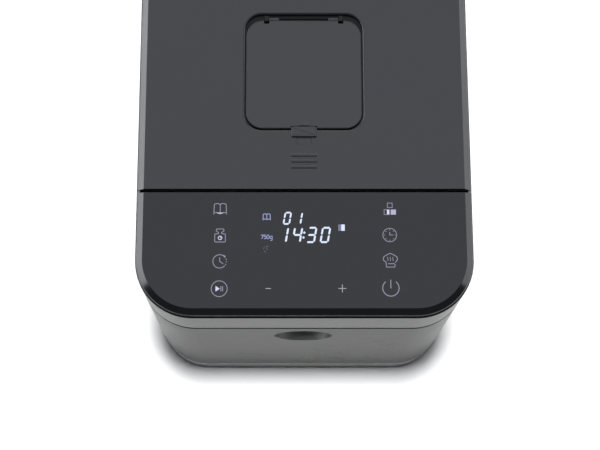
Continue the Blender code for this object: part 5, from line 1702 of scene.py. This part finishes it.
@dataclass
class Pan:
    """The lift-out pan with its base ring and bail, and the paddle on its shaft."""

    half_x: float = 66.0 * MM
    half_y: float = 60.0 * MM
    centre_y: float = 31.0 * MM
    corner: float = 18.0 * MM
    floor: float = 78.0 * MM
    rim: float = 226.0 * MM
    wall: float = 1.2 * MM
    flange: float = 2.5 * MM
    pivot_z: float = 219.0 * MM

    def build(self) -> None:
        """Builds the pan, base ring, bail and paddle."""
        self.build_pan()
        ring = section(
            [
                (37.0 * MM, 65.5 * MM, 0.5 * MM), (44.0 * MM, 65.5 * MM, 0.8 * MM),
                (44.0 * MM, 77.7 * MM, 0.5 * MM), (37.0 * MM, 77.7 * MM, 0.5 * MM),
            ]
        )
        base = Shell().add_turned(ring, (0.0, self.centre_y), Axis.Z, 96)
        settle(base, "pan_base_casting", Body.PAN, FINISHES.cast, "pan_base")
        self.build_bail()
        self.build_paddle()

    def build_pan(self) -> None:
        """A deep pressed shell with a rolled rim, a soft floor corner and two pivot lugs."""
        front, back = self.centre_y - self.half_y, self.centre_y + self.half_y
        plan = rounded_plan(self.half_x, front, back, self.corner, 20)
        inner, lip = self.wall, 1.5 * MM
        profile = section(
            [
                (9.0 * MM, self.floor, 0.0), (0.0, self.floor, 3.4 * MM), (0.0, self.rim - lip, 0.4 * MM),
                (-self.flange, self.rim - lip, 0.4 * MM), (-self.flange, self.rim, 0.8 * MM),
                (inner, self.rim, 1.0 * MM), (inner, self.floor + self.wall, 4.5 * MM),
                (10.0 * MM, self.floor + self.wall, 0.0),
            ],
            closed=False,
            steps=7,
        )
        pan = Shell().add_sweep(plan, profile).build("bread_pan_pressing")
        lugs, cuts = [], [rod(5.2 * MM, (0.0, self.centre_y), Axis.Z, self.floor - PAST, self.floor + PAST)]
        for side in (-1, 1):
            x = sorted((side * 65.3 * MM, side * 70.5 * MM))
            y, low, high = 6.0 * MM, 212.0 * MM, 225.2 * MM
            shape = [(self.centre_y - y, high), (self.centre_y - y, low), (self.centre_y + y, low),
                     (self.centre_y + y, high)]
            lug = rounded_path(shape, [0.6 * MM, 5.0 * MM, 5.0 * MM, 0.6 * MM], True, 8)[0]
            lugs.append(Shell().add_block(lug, x[0], x[1], Axis.X, 0.4 * MM))
            x = sorted((side * 67.2 * MM, side * 73.0 * MM))
            cuts.append(rod(2.6 * MM, (self.centre_y, self.pivot_z), Axis.X, *x))
        carve(pan, *lugs, operation="UNION")
        carve(pan, *cuts)
        settle(pan, pan.name, Body.PAN, FINISHES.nonstick, "bread_pan")

    def build_bail(self) -> None:
        """A bent wire that hangs at a slope outside the pan's front."""
        reach, drop = 72.0 * MM, math.radians(15)
        far_y, far_z = self.centre_y - reach * math.cos(drop), self.pivot_z - reach * math.sin(drop)
        end, arm = 67.6 * MM, 74.5 * MM
        pivot = (self.centre_y, self.pivot_z)
        corners = [(-end, *pivot), (-arm, *pivot), (-arm, far_y, far_z), (arm, far_y, far_z), (arm, *pivot),
                   (end, *pivot)]
        path = rounded_path(corners, [3.0 * MM] * 6, False, 10)[0]
        bail = Shell().add_tube(path, 2.0 * MM, (0.0, math.sin(drop), -math.cos(drop)), 24)
        settle(bail, "bail_wire", Body.BAIL, FINISHES.turned, "bail_handle")

    def build_paddle(self) -> None:
        """A tapered hub with one fin.

        The fin's section is a rounded wedge whose height runs from its foot line to its crest line,
        both smooth curves of the distance from the shaft; it thins to a round end.
        """
        hub = section(
            [
                (4.3 * MM, 80.0 * MM, 0.4 * MM), (9.8 * MM, 80.0 * MM, 1.0 * MM),
                (8.6 * MM, 103.0 * MM, 1.0 * MM), (7.0 * MM, 105.0 * MM, 0.8 * MM),
                (4.3 * MM, 105.0 * MM, 0.3 * MM),
            ]
        )
        paddle = Shell().add_turned(hub, (0.0, self.centre_y)).build("kneading_paddle_casting")
        knots = [(6.5, 81.5, 104.5), (20.0, 81.0, 113.0), (42.0, 80.8, 108.0), (52.0, 80.6, 92.0)]
        line = smooth_loop(knots, False, 10) * MM
        wedge = rounded_path([(-1.6, 0.0), (1.6, 0.0), (1.0, 20.0), (-1.0, 20.0)], [0.9] * 4, True, 4)[0]
        share = wedge[:, 1] / 20.0
        taper = np.sqrt(np.clip((line[-1, 0] + 0.2 * MM - line[:, 0]) / (2.5 * MM), 0.02, 1.0))[:, None]
        height = line[:, 1:2] + share * (line[:, 2:3] - line[:, 1:2])
        thick = self.centre_y + wedge[:, 0] * MM * taper
        grid = np.stack([np.broadcast_to(line[:, :1], height.shape), thick, height], axis=2)
        carve(paddle, Shell().add_rings(grid, False), operation="UNION")
        settle(paddle, paddle.name, Body.PADDLE, FINISHES.nonstick, "kneading_paddle")


@dataclass
class LidInside:
    """What shows under the open lid: inner frame, steel liner, seal, dispenser box and trapdoor."""

    seam: float = 261.2 * MM
    pin: tuple[float, float] = (56.8 * MM, 274.7 * MM)
    door_pin: tuple[float, float] = (56.0 * MM, 244.0 * MM)

    @staticmethod
    def hatch(inset: float) -> np.ndarray:
        """The outline of the box's opening, moved inwards."""
        return rounded_plan(46.3 * MM, -33.5 * MM, 60.5 * MM, 15.0 * MM, 20).at(inset)

    def build(self) -> None:
        """Builds them all."""
        self.build_frame()
        oven = Oven().plan(20)
        edge = 0.5 * MM
        outer, inner = oven.at(6.0 * MM), oven.at(6.0 * MM + edge)
        step, well = oven.at(14.0 * MM), oven.at(16.0 * MM)
        hole, low, high = self.hatch(-0.5 * MM), 259.2 * MM, self.seam
        rows = [(outer, high), (outer, low + edge), (inner, low), (step, low), (well, low + 0.9 * MM),
                (hole, low + 0.9 * MM), (hole, high)]
        settle(Shell().add_loft(rows, True), "lid_liner_pressing", Body.LID, FINISHES.sheet, "lid_liner")
        lips = section(
            [
                (-9.0 * MM, self.seam, 0.2 * MM), (-7.6 * MM, 258.2 * MM, 1.2 * MM),
                (-3.9 * MM, 258.2 * MM, 1.2 * MM), (-2.5 * MM, self.seam, 0.2 * MM),
            ]
        )
        lip = Shell().add_sweep(Oven().plan(20), lips)
        settle(lip, "lid_seal_lip", Body.LID, FINISHES.silicone, "lid_seal")
        self.build_box()
        self.build_door()

    def build_frame(self) -> None:
        """A shallow moulded tray under the cover, with the opening of the dispenser."""
        low, high, wall = 261.5 * MM, 272.6 * MM, 3.0 * MM
        profile = section(
            [(8.0 * MM, low, 0.0), (0.0, low, 1.8 * MM), (0.0, high, 0.3 * MM), (wall, high, 0.3 * MM),
             (wall, 263.5 * MM, 0.6 * MM), (8.0 * MM, 263.5 * MM, 0.0)],
            closed=False,
        )
        plan = rounded_plan(112.0 * MM, -76.5 * MM, 140.0 * MM, 10.0 * MM, 12)
        frame_piece = Shell().add_sweep(plan, profile).build("lid_frame_moulding")
        hole = self.hatch(-0.5 * MM)
        carve(frame_piece, Shell().add_loft([(hole, low - PAST), (hole, high + PAST)], False))
        settle(frame_piece, frame_piece.name, Body.LID, FINISHES.dark, "lid_frame")

    def build_box(self) -> None:
        """The dispenser box: upright walls, then a funnel down to its mouth, and two pairs of ears."""
        wall = 1.4 * MM
        mouth = rounded_plan(24.0 * MM, 6.0 * MM, 50.0 * MM, 8.0 * MM, 20)
        inner, outer = mouth.points, mouth.at(-wall)
        rows = [
            (inner, 245.5 * MM), (outer, 245.5 * MM),
            *((self.hatch(inset * MM), height * MM) for inset, height in (
                (2.6, 256.7), (2.3, 257.4), (2.3, 270.0), (-1.7, 270.0), (-1.7, 272.4), (3.4, 272.4),
                (3.7, 272.1), (3.7, 258.0), (4.0, 257.2),
            )),
        ]
        box = Shell().add_loft(rows, True).build("dispenser_box_moulding")
        ears = []
        for side in (-1, 1):
            for reach, low, high in (
                ((27.0, 30.0), (55.0, 271.5), (59.8, 276.5)),
                ((12.5, 15.5), (55.2, 242.0), (58.5, 252.5)),
            ):
                x = sorted(side * value * MM for value in reach)
                ear = rounded_path(rectangle(*low, *high) * MM, [0.8 * MM] * 4, True, 4)[0]
                ears.append(Shell().add_block(ear, x[0], x[1], Axis.X, 0.2 * MM))
        carve(box, *ears, operation="UNION")
        carve(box, rod(1.3 * MM, self.pin, Axis.X, -0.05, 0.05),
              rod(1.4 * MM, self.door_pin, Axis.X, -0.02, 0.02))
        settle(box, box.name, Body.LID, FINISHES.dark, "dispenser_box")

    def build_door(self) -> None:
        """The trapdoor: a thin round-cornered plate, its hinge barrel and its pin."""
        low, high = 243.2 * MM, 245.0 * MM
        plan = rounded_plan(25.8 * MM, 4.0 * MM, 53.0 * MM, 8.0 * MM, 14)
        profile = section(
            [(2.0 * MM, low, 0.0), (0.0, low, 0.5 * MM), (0.0, high, 0.5 * MM), (2.0 * MM, high, 0.0)],
            closed=False,
        )
        door = Shell().add_sweep(plan, profile).build("trapdoor_moulding")
        radius, end, edge = 2.0 * MM, 12.0 * MM, 0.4 * MM
        barrel = section([(0.0, -end, 0), (radius, -end, edge), (radius, end, edge), (0.0, end, 0)], False)
        carve(
            door,
            block((-11.8 * MM, 51.0 * MM, low + 0.1 * MM), (11.8 * MM, 56.0 * MM, high - 0.1 * MM)),
            Shell().add_turned(barrel, self.door_pin, Axis.X, 32),
            rod(1.0 * MM, self.door_pin, Axis.X, -16.2 * MM, 16.2 * MM),
            operation="UNION",
        )
        settle(door, door.name, Body.DOOR, FINISHES.dark, "trapdoor")


@dataclass
class Dispenser:
    """The flap over the dispenser's opening, and its latch."""

    flap: Span = field(default_factory=lambda: Span.of("dispenser_flap"))
    latch: Span = field(default_factory=lambda: Span.of("flap_latch"))
    half_x: float = 44.0 * MM
    front: float = -31.5 * MM
    back: float = 55.5 * MM
    corner: float = 12.8 * MM
    pin_y: float = 56.8 * MM
    pin_z: float = 274.7 * MM
    plate_top: float = 277.3 * MM

    def build(self) -> None:
        """Builds the flap, its raised thumb tab and the latch."""
        self.build_flap()
        self.build_latch()

    def build_flap(self) -> None:
        """A softly cushioned plate with a cut-out for the latch, two ear notches and two lugs."""
        low, high = 274.0 * MM, self.flap.top
        profile = section(
            [(0.4 * MM, low, 0.2 * MM), (0.0, low + 0.5 * MM, 0.2 * MM), (0.0, high - 0.3 * MM, 0.5 * MM),
             (0.9 * MM, high, 0.5 * MM), (2.0 * MM, high, 0.0)],
            closed=False,
        )
        plan = rounded_plan(self.half_x, self.front, self.back, self.corner, 24)
        flap = Shell().add_sweep(plan, profile).build("dispenser_flap_moulding")
        lugs = []
        for side in (-1, 1):
            ends = sorted((side * 19.0 * MM, side * 26.5 * MM))
            lug = section([(0.0, ends[0], 0), (2.0 * MM, ends[0], 0.3 * MM), (2.0 * MM, ends[1], 0.3 * MM),
                           (0.0, ends[1], 0)], False)
            lugs.append(Shell().add_turned(lug, (self.pin_y, self.pin_z), Axis.X, 32))
        carve(flap, *lugs, operation="UNION")
        cuts = [block((-10.0 * MM, self.front - PAST, low - PAST), (10.0 * MM, -29.6 * MM, high + PAST))]
        for side in (-1, 1):
            x = sorted((side * 26.5 * MM, side * 30.5 * MM))
            cuts.append(block((x[0], 52.8 * MM, low - PAST), (x[1], 60.0 * MM, high + PAST)))
        cuts.append(rod(1.2 * MM, (self.pin_y, self.pin_z), Axis.X, -0.05, 0.05, 24))
        carve(flap, *cuts)
        settle(flap, flap.name, Body.FLAP, FINISHES.flap, "dispenser_flap", angle=math.radians(25))
        tab = rounded_path(
            [(-4.2 * MM, -29.4 * MM), (4.2 * MM, -29.4 * MM), (3.5 * MM, -23.0 * MM),
             (-3.5 * MM, -23.0 * MM)],
            [0.2 * MM, 0.2 * MM, 2.6 * MM, 2.6 * MM], True, 10,
        )[0]
        thumb = Shell().add_block(tab, high - 0.5 * MM, high + 0.6 * MM, Axis.Z, 0.5 * MM)
        settle(thumb, "flap_thumb_tab", Body.FLAP, FINISHES.flap)

    def build_latch(self) -> None:
        """The sliding block, its stem down through the lid, and a shutter that fills the stem's slot."""
        low, high = self.plate_top + 0.3 * MM, self.latch.top
        plan = rounded_plan(self.latch.right, self.latch.front, self.latch.back - 0.6 * MM, 1.0 * MM, 8)
        profile = section(
            [(0.2 * MM, low, 0.0), (0.0, low + 0.2 * MM, 0.1 * MM), (0.0, high, 0.5 * MM),
             (1.2 * MM, high, 0.0)],
            closed=False,
        )
        latch = Shell().add_sweep(plan, profile).build("flap_latch_slider")
        stem = block((-5.0 * MM, -38.4 * MM, self.latch.bottom), (5.0 * MM, -35.8 * MM, low + 0.6 * MM))
        shutter = block(
            (-5.3 * MM, -43.6 * MM, self.plate_top - 1.1 * MM),
            (5.3 * MM, -36.5 * MM, self.plate_top - 0.4 * MM),
        )
        carve(latch, stem, shutter, operation="UNION")
        settle(latch, latch.name, Body.LATCH, FINISHES.flap, "flap_latch", angle=math.radians(25))


@dataclass(frozen=True)
class Refined:
    """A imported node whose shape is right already: a welded copy of it with softened edges."""

    node: str
    body: Body
    finish: Finish
    edge: float = 0.25 * MM

    def build(self) -> None:
        """Welds a copy, dissolves its flat facets and bevels what is left."""
        data = frame["nodes"][self.node].data.copy()
        mesh = bmesh.new()
        mesh.from_mesh(data)
        bmesh.ops.remove_doubles(mesh, verts=mesh.verts, dist=1e-6)
        bmesh.ops.dissolve_limit(mesh, angle_limit=math.radians(1), verts=mesh.verts, edges=mesh.edges)
        bmesh.ops.recalc_face_normals(mesh, faces=mesh.faces)
        mesh.to_mesh(data)
        mesh.free()
        name = f"{self.node}_refined"
        data.name = name
        piece = bpy.data.objects.new(name, data)
        bpy.context.scene.collection.objects.link(piece)
        bevel = piece.modifiers.new("edges", "BEVEL")
        bevel.width, bevel.segments, bevel.limit_method = self.edge, 2, "ANGLE"
        bevel.angle_limit = math.radians(40)
        apply_modifiers(piece)
        settle(piece, name, self.body, self.finish, self.node)


def refined_parts() -> list[Refined]:
    """The nodes kept as packed but for their edges."""
    housing, pan, drive = Body.HOUSING, Body.PAN, Body.DRIVE
    paired = (
        ("hinge_bracket", FINISHES.sheet), ("hinge_pin", FINISHES.turned),
        ("chamber_support", FINISHES.sheet),
    )
    pairs = [(f"{part}_{side}", finish) for side in ("left", "right") for part, finish in paired]
    fixed = pairs + [
        ("temperature_probe", FINISHES.turned), ("thermal_fuse", FINISHES.nylon), ("pan_seat", FINISHES.cast),
        ("shaft_housing", FINISHES.cast), ("shaft_bearing", FINISHES.bronze), ("motor", FINISHES.sheet),
        ("motor_bracket", FINISHES.sheet), ("motor_capacitor", FINISHES.nylon),
        ("power_board", FINISHES.board), ("touch_board", FINISHES.board),
        ("display_module", FINISHES.window), ("drive_belt", FINISHES.rubber),
    ]
    return [Refined(node, housing, finish) for node, finish in fixed] + [
        Refined("drive_shaft", drive, FINISHES.turned),
        Refined("large_pulley", drive, FINISHES.nylon),
        Refined("drive_coupling", drive, FINISHES.cast),
        Refined("motor_shaft", Body.ROTOR, FINISHES.turned),
        Refined("motor_pulley", Body.ROTOR, FINISHES.nylon),
        Refined("solenoid", Body.LID, FINISHES.sheet),
        Refined("solenoid_plunger", Body.PLUNGER, FINISHES.turned),
        # The hinge pin is dressed in painted shade black, so that the gap behind the flap reads as shadow.
        Refined("flap_hinge_pin", Body.LID, FINISHES.painted_shade, 0.1 * MM),
        Refined("flap_seal", Body.FLAP, FINISHES.seal, 0.1 * MM),
        Refined("pan_bearing", pan, FINISHES.cast),
        Refined("pan_shaft", Body.PADDLE, FINISHES.turned),
        Refined("pan_coupling", Body.PADDLE, FINISHES.cast),
    ]


STRIP_WHITE: Colour = (0.97, 0.975, 1.03)


@dataclass
class Studio:
    """Camera, lights, floor and surroundings."""

    eye: tuple[float, float, float] = (-0.01516, -0.35618, 1.34182)
    tilt: float = 14.785
    lens: float = 88.385
    shift: tuple[float, float] = (0.0267, -0.0677)

    def build(self) -> None:
        """Builds them all."""
        data = bpy.data.cameras.new("camera")
        data.lens, data.sensor_width = self.lens, 36.0
        data.shift_x, data.shift_y = self.shift
        data.clip_start, data.clip_end = 0.05, 50.0
        camera = bpy.data.objects.new("camera", data)
        camera.location = self.eye
        camera.rotation_euler = (math.radians(self.tilt), 0.0, 0.0)
        bpy.context.scene.collection.objects.link(camera)
        bpy.context.scene.camera = camera
        bpy.context.scene.view_settings.view_transform = "Standard"
        self.build_floor()
        self.build_world()
        boxes = (
            self.softbox("overhead", (0.0, 0.75, 2.3), (0.0, 0.75, 0.0), (4.2, 3.2), 1.28, (0.97, 1.0, 1.10)),
            self.softbox("left_strip", (-1.9, 0.5, 0.62), (0.0, 0.0, 0.27), (2.6, 0.8), 6.8, STRIP_WHITE),
            self.softbox("right_strip", (1.9, 0.5, 0.62), (0.0, 0.0, 0.27), (2.6, 0.8), 3.1, STRIP_WHITE),
            self.softbox("rear_panel", (0.0, 2.6, 0.7), (0.0, 0.0, 0.27), (3.6, 1.1), 2.5),
        )
        for box in boxes:
            box.visible_diffuse = False
        key = self.softbox("key", (0.0, -0.03, 4.4), (0.0, -0.03, 0.0), (0.34, 0.34), 690.0)
        fill = self.softbox("fill", (0.0, 0.3, 2.6), (0.0, 0.0, 0.0), (2.4, 2.4), 0.25)
        for lamp in (key, fill):
            lamp.visible_glossy = False

    def softbox(
        self, name: str, place: Sequence[float], target: Sequence[float], size: tuple[float, float],
        radiance: float, colour: Colour = (1.0, 1.0, 1.0),
    ) -> bpy.types.Object:
        """An area light facing a point, whose power follows from its brightness and its area."""
        data = bpy.data.lights.new(name, "AREA")
        data.shape = "RECTANGLE"
        data.size, data.size_y = size
        data.energy = radiance * math.pi * size[0] * size[1]
        data.color = colour
        made = bpy.data.objects.new(name, data)
        made.location = place
        made.rotation_euler = (Vector(target) - Vector(place)).to_track_quat("-Z", "Y").to_euler()
        bpy.context.scene.collection.objects.link(made)
        return made

    def build_floor(self) -> None:
        """A wide, pale, level floor."""
        span = np.linspace(-6.0, 6.0, 13)
        x, y = np.meshgrid(span, span)
        grid = np.stack([x, y, np.zeros_like(x)], axis=2)
        shell = Shell()
        shell.add_grid(grid, False, False)
        floor = shell.build("floor")
        if floor.data.polygons[0].normal.z < 0:
            floor.data.flip_normals()
        made = bpy.data.materials.new("floor_paper")
        made.use_nodes = True
        tree = Tree(made.node_tree)
        shader = made.node_tree.nodes["Principled BSDF"]
        place = Finish.position(tree)
        colour = Effect.place(
            tree, mottle_effect(), Vector=place, Colour=(0.93, 0.93, 0.935), Amount=0.01, Scale=300.0
        )["Colour"]
        tree.set(shader, "Base Color", colour)
        tree.set(shader, "Roughness", 0.9)
        tree.set(shader, "Specular IOR Level", 0.1)
        floor.data.materials.append(made)

    def build_world(self) -> None:
        """Pale surroundings to look at, dim and a little blue as a light."""
        world = bpy.data.worlds.new("studio")
        world.use_nodes = True
        tree = Tree(world.node_tree)
        dim = world.node_tree.nodes["Background"]
        tree.set(dim, "Color", (0.80, 0.87, 1.0))
        tree.set(dim, "Strength", 0.05)
        bright = tree.node("ShaderNodeBackground", Color=(0.93, 0.94, 0.95), Strength=1.0)
        seen = tree.node("ShaderNodeLightPath").outputs["Is Camera Ray"]
        both = tree.node("ShaderNodeMixShader", i0=seen)
        world.node_tree.links.new(dim.outputs[0], both.inputs[1])
        world.node_tree.links.new(bright.outputs[0], both.inputs[2])
        world.node_tree.links.new(both.outputs[0], world.node_tree.nodes["World Output"].inputs["Surface"])
        bpy.context.scene.world = world


def dress_nodes() -> None:
    """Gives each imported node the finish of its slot."""
    by_slot = {finish.slot: finish for finish in (
        FINISHES.body, FINISHES.band, FINISHES.lid, FINISHES.panel, FINISHES.base, FINISHES.dark,
        FINISHES.rubber, FINISHES.silicone, FINISHES.sheet, FINISHES.turned, FINISHES.nonstick,
        FINISHES.cast, FINISHES.element, FINISHES.bronze, FINISHES.board, FINISHES.window, FINISHES.nylon,
    )}
    # The hinge pin takes the painted shade black of the gap behind the flap.
    hidden = {"flap_seal": FINISHES.seal, "flap_hinge_pin": FINISHES.painted_shade}
    for part in frame["record"]["subparts"]:
        node = frame["nodes"][part["node"]]
        finish = hidden.get(part["node"], by_slot[part["material_slot"]])
        node.data.materials.clear()
        node.data.materials.append(finish.material())


def main() -> None:
    """Builds the scene, sub-assembly by sub-assembly."""
    logging.basicConfig(level=logging.INFO, format="%(name)s: %(message)s")
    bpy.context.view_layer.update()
    Studio().build()
    dress_nodes()
    Housing().build()
    TopPlates().build()
    TouchPanel().build()
    Dispenser().build()
    LidInside().build()
    Oven().build()
    Pan().build()
    for part in refined_parts():
        part.build()


if __name__ == "__main__":
    main()
